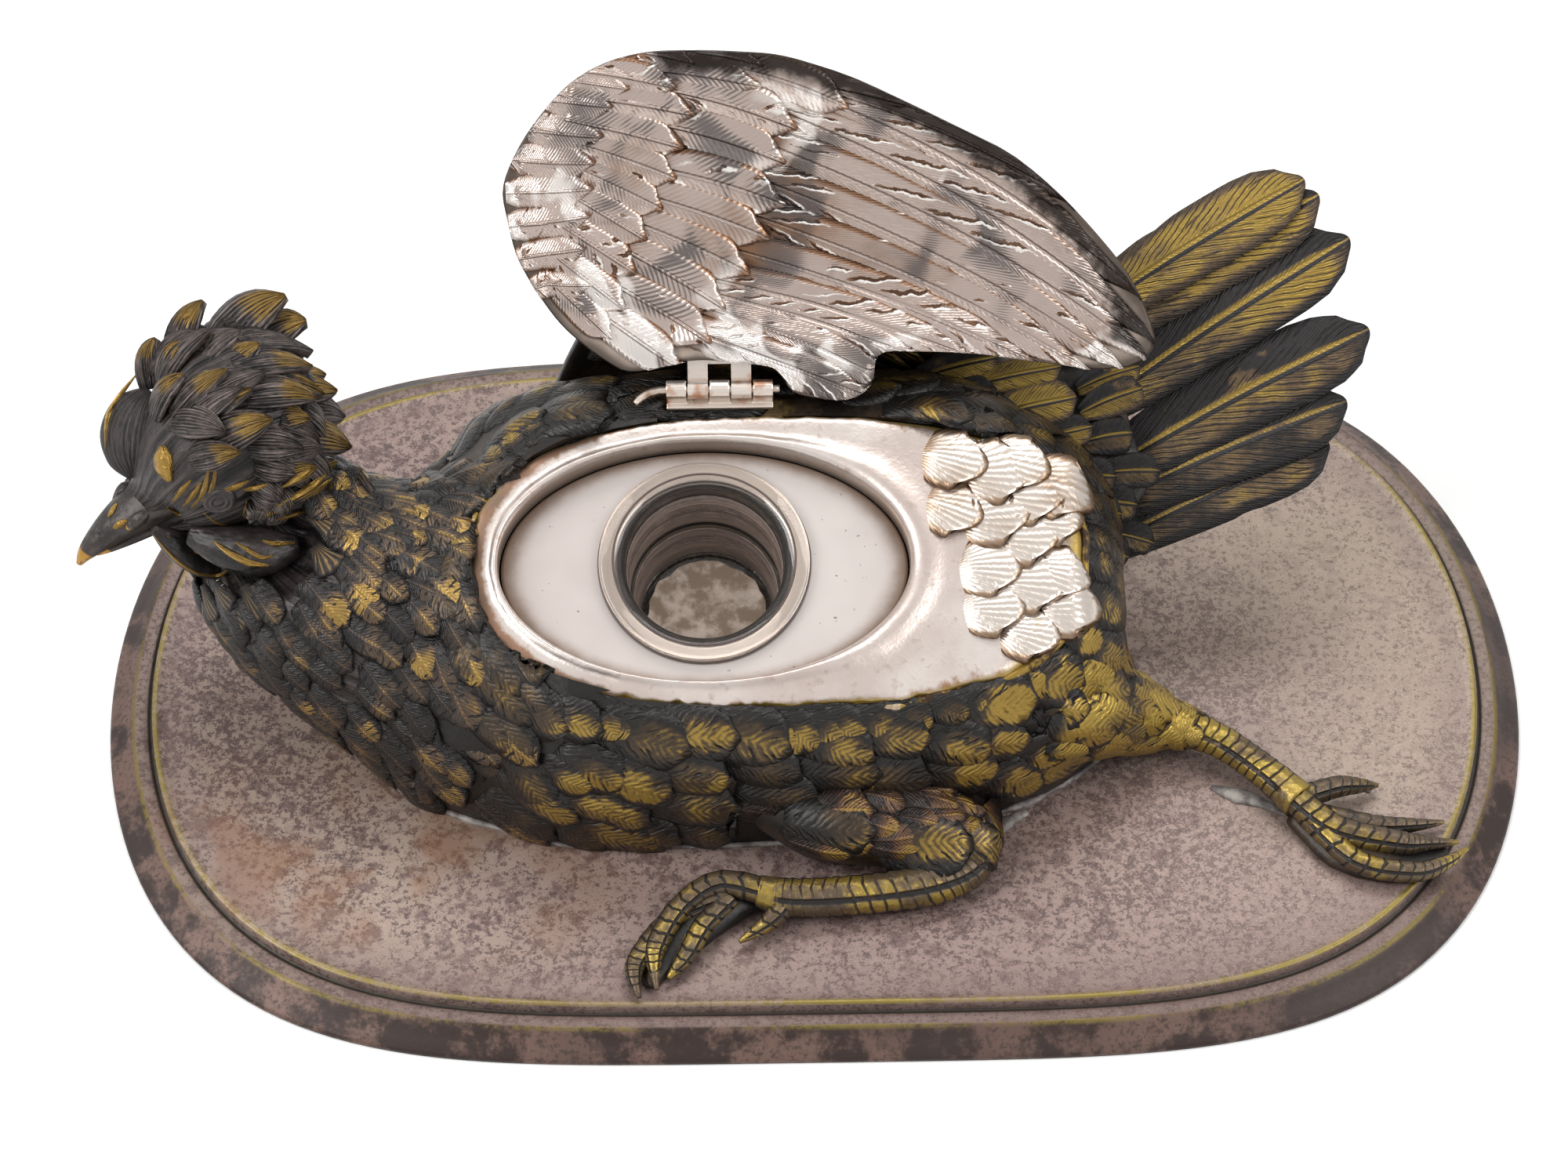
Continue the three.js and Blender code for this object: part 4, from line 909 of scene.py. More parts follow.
# %% Collar scales
def silver_scale_finish(name, bright=(208, 197, 187), shade=(152, 128, 106), dark=(92, 66, 46),
                        lines=34.0, deep=0.7, rough=0.26, metal=0.75, barbs=0.0, gold=0.0,
                        reflection_patches=0.0, cuts=(4.0, 1.4, 0.3), ribs=0.12):
    """Lines fan out over a scale, or barbs slant over a feather; haze is a share of painted
    reflections
    """
    look = Finish(name)
    across, way, top = look.split(look.attribute("grain"))
    lot = look.attribute("lot", out="Fac")
    places = look.places()
    aside = abs(across)
    fine = look.noise(places, 380.0, 3.0)
    cloud = look.noise(places, 50.0, 3.0)
    dark_reflection_noise = look.noise(places, 75.0, 2.0, distortion=0.6)
    fan = look.sine(across * lines * (way + 0.5) ** -1.0 + (fine - 0.5) * 2.0) * 0.5 + 0.5
    barb = look.sine((way * barbs - aside * barbs * 0.2 + fine * 0.5) * (2 * math.pi)) * 0.5 + 0.5
    line = barb if barbs else fan
    coarse = look.noise(look.join(way * 6.0 - aside * 2.4, aside * 0.8, lot * 30.0), 2.2, 2.0)
    kept, saw = look.slits(across, way, lot, fine, *cuts)
    split = kept * (1.0 - look.step(abs(saw - 0.5), 0.05, 0.14))
    glint = kept * (1.0 - look.step(abs(saw - 0.72), 0.04, 0.12))
    # the rim number: above zero a dark band along the lid's top edge, below zero painted light that
    # brightens the lid's lower part and left end
    rim = look.attribute("rim", out="Fac")
    painted_light_part = look.step(0.0 - rim, 0.0, 1.0)
    root = 1.0 - look.step(way, 0.0, 0.3)
    edge = look.maths("MAXIMUM", look.step(aside, 0.7, 0.98), look.step(way, 0.88, 1.0))
    shaft = 1.0 - look.step(aside, 0.03, 0.12)
    shade_share = look.clamp(root * 0.5 + edge * 0.62 + (1.0 - line) * ribs + split * 0.75
                             + (cloud - 0.5) * 1.1 * deep + (1.0 - top) * 0.8 - shaft * 0.2
                             + 0.12 - painted_light_part * 0.4)
    bright_reflection_noise = look.noise(places, 62.0, 2.0, distortion=0.8)
    # painted reflections: the last two layers, dark grey and white patches, stand in for reflections
    # of the studio
    colour = look.layered(
        tone(*bright),
        (look.step(shade_share, 0.15, 0.6), shade),
        (look.step(shade_share, 0.6, 1.1), dark),
        (look.step(dark_reflection_noise + (line - 0.5) * 0.1, 0.53, 0.62) * reflection_patches, (88, 84, 84)),
        (look.step(bright_reflection_noise + painted_light_part * 0.06, 0.62, 0.68) * reflection_patches, (244, 236, 230)))
    if gold:
        colour = look.layered(colour, (look.step(look.noise(places, 90.0, 2.0), 0.66, 0.72) * gold,
                                       (176, 152, 66)))
    band = look.step(rim + (fine - 0.5) * 0.12 + (cloud - 0.5) * 0.08, 0.85, 0.93)
    colour = look.layered(colour, (glint, (246, 240, 234)), (band * 0.95, (40, 32, 28)))
    height = line * (0.5 if ribs > 0.5 else 0.08) - split + coarse * 0.25
    if barbs:
        height = height + shaft * 0.8
    return look.surface(colour, rough + shade_share * 0.16, metal, height, 0.0005, 1.0)


collar_scale_silver = silver_scale_finish("silvered_scale", lines=36.0, gold=0.85, deep=1.2,
                                          cuts=(4.0, 0.8, 0.3))
SCALLOP = [(0, 0.5), (0.3, 0.92), (0.6, 1.0), (0.8, 0.98), (0.92, 0.9), (1, 0.8)]


def flat_scale(along, back, length, half, turn):
    direction = Vector((math.cos(turn), math.sin(turn)))
    side = Vector((-direction.y, direction.x))

    def shape(across, way, top):
        wide = table_at(SCALLOP, way)[0] * half * across
        far = length * (way - 0.4 * across * across * way ** 3)
        spot = Vector((along, back)) + direction * far + side * wide
        drape = 0.14 * max(spot.x - 64.5, 0) ** 2
        if top < 0.5:
            return from_well(spot.x, spot.y, -1.2 - drape)
        swell = 0.6 * (1 - across * across) * math.sin(math.pi * min(way * 0.8 + 0.2, 1))
        sunk = 0.9 * (1 - smooth_step(0.0, 0.3, way))
        lean = 0.5 * across * smooth_step(0.1, 0.6, way)
        return from_well(spot.x, spot.y, 0.3 - sunk + 1.2 * way + swell - lean - drape)
    return shape


scale_blank = feather_blank("scale_blank", 10, 8)
scales = fresh()
SCALE_HALF, SCALE_LENGTH, SCALE_STEP = 6.0, 13.0, 6.0
SCALES_START, SCALES_END = 34.0, 56.0  # along the well, in mm
scale_count = 0
along = SCALES_END
odd = False
while along > SCALES_START:
    back = -27.0 + (SCALE_HALF * 0.8 if odd else 0)
    while back < 27:
        inside = collar_level(along + 2, back, -1.0) < 1
        past_mouth = (along / (TRAY_HALF[0] + 3.5)) ** 2 + (back / (TRAY_HALF[1] + 3)) ** 2 > 1
        plain = along < 47 and back < -11 - (along - 38) * 0.3
        if inside and past_mouth and not plain:
            size = chance.uniform(0.9, 1.15)
            lay(scales, scale_blank, flat_scale(
                along + chance.uniform(-0.8, 0.8), back + chance.uniform(-0.6, 0.6),
                min(SCALE_LENGTH * size, 70.0 - along), SCALE_HALF * size,
                chance.uniform(-0.4, 0.16)))
            scale_count += 1
        back += SCALE_HALF * 1.4
    along -= SCALE_STEP
    odd = not odd
finish_piece(scales, "collar_scales", "root", "silvered_bronze", collar_scale_silver)
print("collar scales:", scale_count)

# %% [markdown]
# ## Edge of the silvering
# Where the plater's silver stops, the bronze under it shows as a gold bead along the front of the
# collar, and short feathers tuck in against it so no bare skin is left.

# %% Collar bead
bead_finish = Finish("worn_collar_bead")
places = bead_finish.places()
patchy = bead_finish.noise(places, 140.0, 4.0, 0.65)
bead_tone = bead_finish.layered(
    tone(62, 46, 34), (bead_finish.step(patchy, 0.4, 0.5), (150, 122, 56)),
    (bead_finish.step(patchy, 0.6, 0.68), (196, 178, 160)))
bead_finish.surface(bead_tone, 0.36, 0.65, patchy, 0.0005, 0.8)
bead = fresh()
rows = []
for degree in range(150, 391, 3):
    angle = math.radians(degree)
    reach = collar_reach(angle) + 0.5
    size = 0.75 + 0.55 * noise.noise(Vector((degree * 0.13, 2, 5)))
    rows.append((*from_well(reach * math.cos(angle), reach * math.sin(angle), -1.1), size, size))
sweep_limb(bead, rows, sides=10, steps=240, up=WELL_UP)
finish_piece(bead, "collar_bead", "root", "bird_bronze", bead_finish.material)

# %% Feathers tucked against the collar
tucked = fresh()
for degree in range(0, 360, 6):
    angle = math.radians(degree + chance.uniform(-1.5, 1.5))
    reach = collar_reach(angle) + 1.6
    root = from_well(reach * math.cos(angle), reach * math.sin(angle), -1.0)
    if -14 < root.x < 22 and root.y > 4:
        continue
    out = from_well(reach * math.cos(angle) * 1.2, reach * math.sin(angle) * 1.2, -4) - root
    flow = out.normalized() + Vector((0.9, 0, -0.2))
    if root.x < -55:
        flow = out.normalized() * 0.3 + Vector((0.2, -1.0 if root.y < 0 else 1.0, -0.5))
    size = chance.uniform(0.85, 1.2)
    lay(tucked, small_blank, scale_on(bird_ground, root, flow, 9.5 * size, 4.2 * size, lift=1.1),
        chance.uniform(0.6, 1.0))
finish_piece(tucked, "tucked_feathers", "root", "bird_bronze", bronze_feather)

# %% [markdown]
# ## Tray plate
# A thin silvered plate closes the oval mouth round the glass. Its attribute holds the place as a
# share of the oval, so the brown ring of old ink sits against the wall whatever the oval's size.

# %% Tray
TRAY_LEVEL = -4.2
HOLE_RADIUS = 16.1
HOLE_BACK = 1.0  # the hole and the glass lie this far behind the middle of the mouth
TRAY_RINGS = [(0.0, -5.4), (0.0, -4.24), (0.03, TRAY_LEVEL), (0.3, TRAY_LEVEL), (0.6, TRAY_LEVEL),
              (0.85, TRAY_LEVEL), (0.97, TRAY_LEVEL), (1.0, -4.35), (1.0, -5.4)]


def tray_place(angle, number):
    share, rise = TRAY_RINGS[number]
    outer = ellipse_reach(angle, (TRAY_HALF[0] - 0.3, TRAY_HALF[1] - 0.3))
    reach = blend(HOLE_RADIUS, outer, share)
    along, back = reach * math.cos(angle), reach * math.sin(angle)
    back += HOLE_BACK * (1 - share)
    return from_well(along, back, rise), Vector((along / TRAY_HALF[0], back / TRAY_HALF[1], rise))


tray = fresh()
ringed_shell(tray, tray_place, len(TRAY_RINGS), 160, close=False)
plate = Finish("silvered_tray")
along_share, back_share, _ = plate.split(plate.attribute("grain"))
places = plate.places()
reach = (along_share * along_share + back_share * back_share) ** 0.5
fine = plate.noise(places, 260.0, 3.0)
speck = plate.noise(places, 700.0, 2.0)
stain = plate.step(reach + (fine - 0.5) * 0.06, 0.86, 0.99)
film = plate.noise(places, 30.0, 3.0)
tray_tone = plate.layered(
    tone(206, 197, 192), (plate.step(film, 0.3, 0.7), (192, 181, 176)), (stain * 0.85, (116, 90, 68)),
    (plate.step(speck, 0.715, 0.74) * 0.7, (110, 94, 84)))
plate.surface(tray_tone, 0.3 + stain * 0.2 + fine * 0.08, 0.5, fine, 0.0001, 0.15)
tray_piece = finish_piece(tray, "silver_tray", "root", "silvered_bronze", plate.material)
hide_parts("tray_plate")

# %% [markdown]
# ## Glass liner
# A pressed and ground glass pot hangs by its flange. The profile is one closed line of small
# arcs, spun round the tilted axis, so light bends through real wall thickness.

# %% Liner
LINER_BASE = TRAY_LEVEL + 0.3
LINER_PROFILE = [
    (0.0, -32.2), (10.0, -32.2), (13.6, -32.2), (15.0, -31.6), (15.7, -30.6), (15.8, -29.0),
    (15.8, -20.0), (15.8, -10.0), (15.8, -1.0), (15.95, -0.25), (16.3, 0.0), (18.1, 0.0),
    (18.6, 0.2), (18.8, 0.6), (18.8, 1.25), (18.6, 1.65), (18.1, 1.8), (16.8, 1.8), (16.1, 1.7),
    (15.2, 1.35), (14.6, 0.7), (14.25, 0.0), (14.2, -1.0), (14.2, -14.6), (14.0, -15.4),
    (13.5, -16.0), (13.35, -16.6), (13.0, -24.0), (12.5, -27.2), (11.9, -28.5), (10.6, -29.3),
    (8.0, -29.5), (0.0, -29.4),
]
liner = fresh()
spin_profile(liner, LINER_PROFILE, 128)
for vert in liner.verts:
    vert.co = from_well(vert.co.x, vert.co.y + HOLE_BACK, vert.co.z + LINER_BASE)
clear = Finish("clear_glass")
places = clear.places()
streak = clear.noise(places, 60.0, 3.0)
clear.surface(tone(244, 238, 232), 0.02 + clear.step(streak, 0.55, 0.75) * 0.06, 0.0,
              streak, 0.0003, 0.12, Transmission_Weight=0.975, IOR=1.46)
liner_piece = finish_piece(liner, "clear_liner", "glass", "liner_glass", clear.material)
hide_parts("glass_liner")

# %% [markdown]
# ## Ink film in the pot
# A dried film covers the floor of the pot and climbs its wall, and two thin dark rings run round the
# flange, at its lower outer edge and on its top. The film on the floor is a thin irregular disc, the
# rest are thin spun sleeves. All of it glows a little, the pale floor most and the wall and rings
# dimly: painted light, in place of the light that the thick glass foot would gather.

# %% Ink residue
FILM_RADIUS, FILM_THICKNESS, FILM_HEIGHT = 11.2, 0.12, -29.1
film = fresh()
grain = film.verts.layers.float_vector["grain"]
bmesh.ops.create_circle(film, cap_ends=True, segments=64, radius=FILM_RADIUS)
centre_faces = bmesh.ops.inset_region(film, faces=film.faces[:], thickness=2.2)["faces"]
bmesh.ops.inset_region(film, faces=[f for f in film.faces if f not in set(centre_faces)],
                       thickness=3.0)
for vert in film.verts:
    reach = math.hypot(vert.co.x, vert.co.y)
    vert[grain] = Vector((reach / FILM_RADIUS, 0, 0))
    if reach > 9:
        vert.co += vert.co.normalized() * noise.noise(vert.co * 0.35) * 0.9
bmesh.ops.solidify(film, geom=film.faces[:], thickness=FILM_THICKNESS)
for vert in film.verts:
    vert.co = from_well(vert.co.x, vert.co.y + HOLE_BACK, LINER_BASE + FILM_HEIGHT + vert.co.z)
FILM_SLEEVES = [  # closed outlines, radius and height over the glass foot in mm
    [(14.1, -3.0), (14.1, -14.4), (13.9, -15.2), (13.7, -15.2), (13.9, -14.3), (13.9, -3.0)],
    [(13.25, -17.0), (12.9, -24.0), (12.4, -27.0), (12.2, -27.0), (12.7, -24.0), (13.05, -17.0)],
    [(18.85, 0.3), (19.1, 0.02), (18.85, -0.25), (18.6, 0.02)],
    [(16.25, 1.86), (16.45, 1.94), (16.25, 2.02), (16.05, 1.94)],
]
for outline in FILM_SLEEVES:
    sleeve = fresh()
    grain = sleeve.verts.layers.float_vector["grain"]
    spin_profile(sleeve, outline, 96, closed=True)
    for vert in sleeve.verts:
        vert[grain] = Vector((1.2 if vert.co.z > -2 else 0.75, vert.co.z, 1))
        vert.co = from_well(vert.co.x, vert.co.y + HOLE_BACK, vert.co.z + LINER_BASE)
    add_part(film, sleeve)
ink_film_and_glow = Finish("dried_ink_film_painted_glow")
reach, depth, _ = ink_film_and_glow.split(ink_film_and_glow.attribute("grain"))
places = ink_film_and_glow.places()
blot = ink_film_and_glow.noise(places, 260.0, 4.0, 0.6)
streak = ink_film_and_glow.noise(ink_film_and_glow.join(depth * 0.9, blot * 2.0, 1.0), 1.6, 3.0, 0.7)
wall = 1.0 - ink_film_and_glow.step(depth, -3.0, -2.9)
floor_tone = ink_film_and_glow.layered(
    tone(236, 218, 206), (ink_film_and_glow.step(blot, 0.42, 0.6), (160, 142, 128)),
    (ink_film_and_glow.step(reach + (blot - 0.5) * 0.5, 0.62, 1.0) * 0.7, (88, 74, 60)))
wall_tone = ink_film_and_glow.layered(tone(46, 38, 34), (ink_film_and_glow.step(streak, 0.35, 0.65), (134, 116, 106)))
ink_and_glow_tone = ink_film_and_glow.layered(
    ink_film_and_glow.mix(wall * ink_film_and_glow.step(0.0 - depth, 2.9, 3.0), floor_tone, wall_tone),
    (ink_film_and_glow.step(reach, 1.1, 1.15), (66, 56, 52)))
ink_film_and_glow.surface(ink_and_glow_tone, 0.35, 0.1, blot, 0.0002, 0.5)
# painted light: the film glows, the floor in its own pale tones and the wall sleeves and flange rings
# dimly
ink_film_and_glow.feed(ink_film_and_glow.shader.inputs["Emission Color"], ink_film_and_glow.layered(ink_and_glow_tone, (wall, (60, 52, 48))))
ink_film_and_glow.shader.inputs["Emission Strength"].default_value = 0.85
finish_piece(film, "ink_residue", "glass", "liner_glass", ink_film_and_glow.material)

# %% [markdown]
# ## Hinge
# Five knuckles on one pin, filed from bar: three on the collar's leaf, two on the lid's. The CAD
# shapes are right and small, so each is copied, merged, its edges broken with a fine bevel, and
# given a silvered finish that has worn to copper in patches.

# %% Hinge leaves and pin
def hinge_finish(name, bright, worn, share=0.5):
    look = Finish(name)
    places = look.places()
    fine = look.noise(places, 500.0, 4.0, 0.65)
    cloud = look.noise(places, 160.0, 3.0)
    scratch = look.noise(look.node("ShaderNodeMapping", None, Vector=places,
                                   Scale=(300.0, 1800.0, 1800.0)), 1.0, 2.0)
    colour = look.layered(tone(*bright), (look.step(cloud, share, share + 0.15), worn),
                          (look.step(fine, 0.6, 0.75) * 0.5, (96, 74, 60)))
    return look.surface(colour, 0.26 + scratch * 0.16, 0.85, scratch + fine, 0.00015, 0.4)


hinge_silver = hinge_finish("worn_hinge_silver", (226, 214, 204), (188, 142, 116))
pin_silver = hinge_finish("hinge_pin_metal", (206, 192, 180), (150, 116, 96), 0.6)


EDGE_BREAK = 0.22


def eased_copy(node, name, body, slot, material):
    bm = solid_copy(node)
    bmesh.ops.dissolve_limit(bm, angle_limit=math.radians(2), verts=bm.verts[:], edges=bm.edges[:])
    sharp = [edge for edge in bm.edges if len(edge.link_faces) == 2
             and edge.calc_face_angle() > math.radians(28)]
    bmesh.ops.bevel(bm, geom=sharp, offset=EDGE_BREAK, offset_type="OFFSET", segments=2, profile=0.5,
                    affect="EDGES", clamp_overlap=True, material=-1)
    bmesh.ops.remove_doubles(bm, verts=bm.verts[:], dist=0.002)
    piece = finish_piece(bm, name, body, slot, material, smooth=False)
    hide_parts(node)


eased_copy("collar_hinge_leaf", "collar_leaf", "root", "hinge_metal", hinge_silver)
eased_copy("lid_hinge_leaf", "lid_leaf", "lid", "hinge_metal", hinge_silver)
HINGE_Y, HINGE_Z = 19.286, 61.324
PIN_PATH = [
    (-31.9, -2.4, -0.9, 0.5, 0.42), (-30.6, -1.2, -0.5, 0.66, 0.62), (-28.6, -0.3, -0.1, 0.7, 0.7),
    (-26.2, 0, 0, 0.7, 0.7), (-16, 0, 0, 0.7, 0.7), (-6.6, 0, 0, 0.7, 0.7), (-6.4, 0, 0, 0.6, 0.6),
]
pin = fresh()
sweep_limb(pin, [(x, HINGE_Y + y, HINGE_Z + z, w, h) for x, y, z, w, h in PIN_PATH], sides=20,
           steps=24)
pin_piece = finish_piece(pin, "bent_pin", "root", "hinge_metal", pin_silver)
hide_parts("hinge_pin")
steel = hinge_finish("fixing_steel_finish", (186, 182, 176), (150, 140, 128))
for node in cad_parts:
    if "fixing" in node:
        paint_node(node, steel)

# %% [markdown]
# ## Wings as domed shells
# The lid is the near wing: a thin domed casting, silvered inside, bronze outside. The far wing is
# its fixed brother. Each shell is ringed out from its middle to its outline and back round the
# rim, and feathers are then laid on it in layers: long quills, then coverts, then small scales.

# %% Wing form
WING_OUTLINE = [
    (-0.003, 0.5), (-0.01, 0.6), (0.01, 0.7), (0.045, 0.8), (0.095, 0.9), (0.15, 0.96),
    (0.21, 0.99), (0.28, 0.996), (0.36, 0.99), (0.43, 0.975), (0.525, 0.918), (0.62, 0.835),
    (0.705, 0.755), (0.78, 0.68), (0.85, 0.57), (0.91, 0.45), (0.96, 0.33), (0.992, 0.21),
    (1.003, 0.12), (0.972, 0.06), (0.9, 0.05), (0.815, 0.075), (0.73, 0.1), (0.64, 0.11),
    (0.572, 0.105), (0.56, 0.02), (0.53, -0.027), (0.485, -0.03), (0.434, -0.005),
    (0.41, 0.065), (0.34, 0.085), (0.275, 0.09), (0.19, 0.06), (0.15, 0.085), (0.08, 0.19),
    (0.034, 0.31), (0.008, 0.41),
]
FAR_WING_OUTLINE = [
    (0, -0.3), (0.03, 0), (0.09, 0.3), (0.15, 0.58), (0.25, 0.76), (0.4, 0.86), (0.55, 0.87),
    (0.7, 0.82), (0.82, 0.66), (0.87, 0.45), (0.86, 0.2), (0.835, -0.1), (0.8, -0.3), (0.5, -0.35),
]


class WingForm:
    """A domed plate in its own plane, its outline kept as reach by angle from its middle"""

    def __init__(self, matrix, outline, middle, left, length, rise, rim, dome, thickness, sunk=0.0):
        self.matrix, self.rim, self.dome, self.thickness = matrix, rim, dome, thickness
        self.sunk = sunk
        self.left, self.length, self.rise = left, length, rise
        self.middle = Vector((left + middle[0] * length, middle[1] * rise))
        points = [(left + x * length, y * rise) for x, y in outline]
        closed = [points[-1]] + points + points[:2]
        smooth = []
        for k in range(1, len(closed) - 2):
            smooth += [self.between(closed[k - 1:k + 3], part / 8) for part in range(8)]
        self.polar = sorted((math.atan2(y - self.middle.y, x - self.middle.x),
                             math.hypot(x - self.middle.x, y - self.middle.y)) for x, y in smooth)

    @staticmethod
    def between(rows, t):
        (a, b), (c, d), (e, f), (g, h) = rows

        def ease(p, q, r, s):
            return q + t * ((r - p) / 2 + t * ((2 * p - 5 * q + 4 * r - s) / 2
                                                + t * (3 * q - p - 3 * r + s) / 2))
        return ease(a, c, e, g), ease(b, d, f, h)

    def reach(self, angle):
        table = self.polar
        low, high = 0, len(table) - 1
        if angle <= table[0][0] or angle >= table[-1][0]:
            (a, first), (b, second) = table[-1], table[0]
            gap = b + 2 * math.pi - a
            share = ((angle - a) % (2 * math.pi)) / gap
            return blend(first, second, share)
        while high - low > 1:
            middle = (low + high) // 2
            if table[middle][0] <= angle:
                low = middle
            else:
                high = middle
        (a, first), (b, second) = table[low], table[high]
        return blend(first, second, (angle - a) / max(b - a, 1e-9))

    def share(self, x, y):
        offset = Vector((x, y)) - self.middle
        return offset.length / self.reach(math.atan2(offset.y, offset.x))

    def kept(self, x, y, most=1.0):
        share = self.share(x, y)
        if share <= most:
            return x, y, share
        spot = self.middle + (Vector((x, y)) - self.middle) * (most / share)
        return spot.x, spot.y, most

    def dip(self, y):
        """How far the inner face lies under the CAD face, so that a shut lid clears the collar"""
        return self.sunk * smooth_step(4.0, 16.0, y)

    def place(self, x, y, proud, outer=False, most=1.0, ease=True):
        x, y, share = self.kept(x, y, most)
        height = self.rim - self.dome * (1 - min(share, 1) ** 2)
        if ease:
            proud *= 1 - 0.8 * smooth_step(0.82, 1.0, share)
        height = height - self.thickness - proud if outer else height + proud - self.dip(y)
        return self.matrix @ Vector((x, y, height))


# %% Shell of a wing
LID_LEFT, LID_LENGTH, LID_RISE, LID_WALL = -53.4, 114.4, 61.0, 2.4
SHELL_SHARES = (0.04, 0.2, 0.4, 0.6, 0.78, 0.9, 0.96)
SHELL_RINGS = ([(share, 0.0) for share in SHELL_SHARES]
               + [(0.99, -0.1), (1.0, -0.5), (1.0, -1.7), (0.99, -2.2)]
               + [(share, -LID_WALL) for share in reversed(SHELL_SHARES)])


def wing_shell(bm, form):
    def shell_place(angle, number):
        share, drop = SHELL_RINGS[number]
        reach = form.reach(angle) * share
        x = form.middle.x + reach * math.cos(angle)
        y = form.middle.y + reach * math.sin(angle)
        dip = form.dip(y)
        height = form.rim - form.dome * (1 - share ** 2) - dip
        height += drop * (form.thickness - dip) / LID_WALL
        return form.matrix @ Vector((x, y, height)), Vector((share, drop, 1))
    ringed_shell(bm, shell_place, len(SHELL_RINGS), 200)


# %% Feathers of a wing
QUILL = [(0, 0.8), (0.3, 0.95), (0.6, 1.0), (0.82, 0.84), (0.94, 0.5), (1, 0.12)]
COVERT = [(0, 0.55), (0.3, 0.9), (0.6, 1.0), (0.8, 0.96), (0.9, 0.84), (0.96, 0.64), (1, 0.3)]


def wing_feather(bm, form, blank, root, tip, half, levels, bow, dome, lean, outline, outer, most):
    line = tip - root
    ahead = line.normalized()
    side = Vector((-ahead.y, ahead.x))

    def shape(across, way, top):
        wide = table_at(outline, way)[0] * half * across
        far = line.length * (way - 0.12 * across * across * way ** 3)
        spot = root + ahead * far + side * (wide + bow * math.sin(math.pi * way))
        if top < 0.5:
            return form.place(spot.x, spot.y, -0.5, outer, most, ease=False)
        shaft = 0.3 * math.exp(-(across / 0.16) ** 2)
        swell = dome * (1 - across * across) + shaft + lean * across
        return form.place(spot.x, spot.y, blend(*levels, way) + swell, outer, most)
    lay(bm, blank, shape)


# Quills, coverts and scales of the lid in its own plane: root, tip, half width, bow
QUILLS = [
    ((-22, 58), (33, 45.5), 3.0, 2.0), ((-12, 56.5), (47, 33), 3.4, 3.4),
    ((-4.8, 53.5), (57.5, 16.7), 4.6, 4.2), ((-6.6, 49.2), (61.1, 8.2), 4.8, 4.0),
    ((-6.7, 42.4), (60.6, 4.6), 4.8, 3.2), ((-5.9, 35.3), (55.3, 3.4), 4.6, 2.4),
    ((-6, 28.6), (48.1, 3.6), 4.4, 1.8), ((-10.4, 23.2), (38.9, 4.6), 4.2, 1.4),
    ((-14, 18.2), (28.3, 5.5), 4.0, 1.0), ((-16.4, 13.4), (13.3, 1.3), 3.9, 1.0),
    ((-19.2, 9.7), (9.5, -1.4), 3.6, 0.4), ((-15, 16), (18, 6), 3.6, 0.6),
]
MEDIUM = [
    ((-13, 57.2), (6.5, 50.6), 4.2, 0.8), ((-24, 53.4), (-2.5, 46.7), 4.6, 0.8),
    ((-24.9, 47.0), (-4.6, 40.5), 4.8, 0.8), ((-27.6, 39.6), (-4.8, 32.7), 4.8, 0.6),
    ((-31.2, 35.2), (-7.6, 26.8), 4.6, 0.5), ((-33.0, 30.6), (-11.2, 20.6), 4.6, 0.4),
    ((-34.8, 26.2), (-15.7, 14.6), 4.4, 0.2), ((-36.8, 20.2), (-18.3, 9.0), 4.2, 0.0),
    ((-39.7, 15.4), (-24.0, 4.4), 3.8, 0.0), ((-31, 57.5), (-9, 54.5), 3.6, 0.6),
]
SMALL = [
    ((-38.6, 57.0), (-23.7, 54.4), 3.2, 0.4), ((-38.8, 52.6), (-20.6, 49.4), 4.0, 0.4),
    ((-39.5, 48.0), (-22.9, 43.6), 4.0, 0.3), ((-38.3, 43.4), (-24.1, 38.0), 4.0, 0.2),
    ((-38.2, 38.6), (-26.6, 32.6), 3.9, 0.0), ((-40.1, 34.0), (-29.5, 27.2), 3.8, 0.0),
    ((-42.9, 29.2), (-31.6, 21.4), 3.7, 0.0), ((-43.9, 23.4), (-33.6, 15.0), 3.4, 0.0),
    ((-44.5, 18.2), (-36.0, 10.0), 2.9, 0.0),
]
TINY = [
    ((-46.5, 52.4), (-37.0, 51.4), 3.2, 0.0), ((-49.6, 47.0), (-38.8, 46.0), 3.4, 0.0),
    ((-51.4, 41.6), (-40.4, 41.2), 3.4, 0.0), ((-52.4, 36.0), (-40.8, 36.4), 3.4, 0.0),
    ((-52.4, 30.2), (-41.4, 31.4), 3.2, 0.0), ((-51.4, 24.6), (-42.4, 25.6), 3.0, 0.0),
    ((-49.0, 19.6), (-41.6, 19.4), 2.6, 0.0), ((-42.5, 55.8), (-34.0, 54.6), 2.6, 0.0),
]
EDGE = [
    ((-54.5, 30.0), (-46.5, 30.6), 2.8, 0.0), ((-54.0, 36.0), (-46.0, 36.2), 2.8, 0.0),
    ((-53.0, 42.0), (-45.5, 41.6), 2.8, 0.0), ((-50.5, 48.0), (-43.5, 46.6), 2.8, 0.0),
    ((-45.5, 54.0), (-39.0, 51.6), 2.6, 0.0), ((-53.0, 24.0), (-46.0, 25.2), 2.6, 0.0),
    ((-50.5, 18.5), (-44.5, 20.4), 2.4, 0.0), ((-38.5, 58.5), (-31.0, 56.4), 2.6, 0.0),
    ((-30.0, 60.6), (-20.0, 58.4), 2.4, 0.2), ((-20.0, 60.4), (-8.0, 58.0), 2.4, 0.3),
]


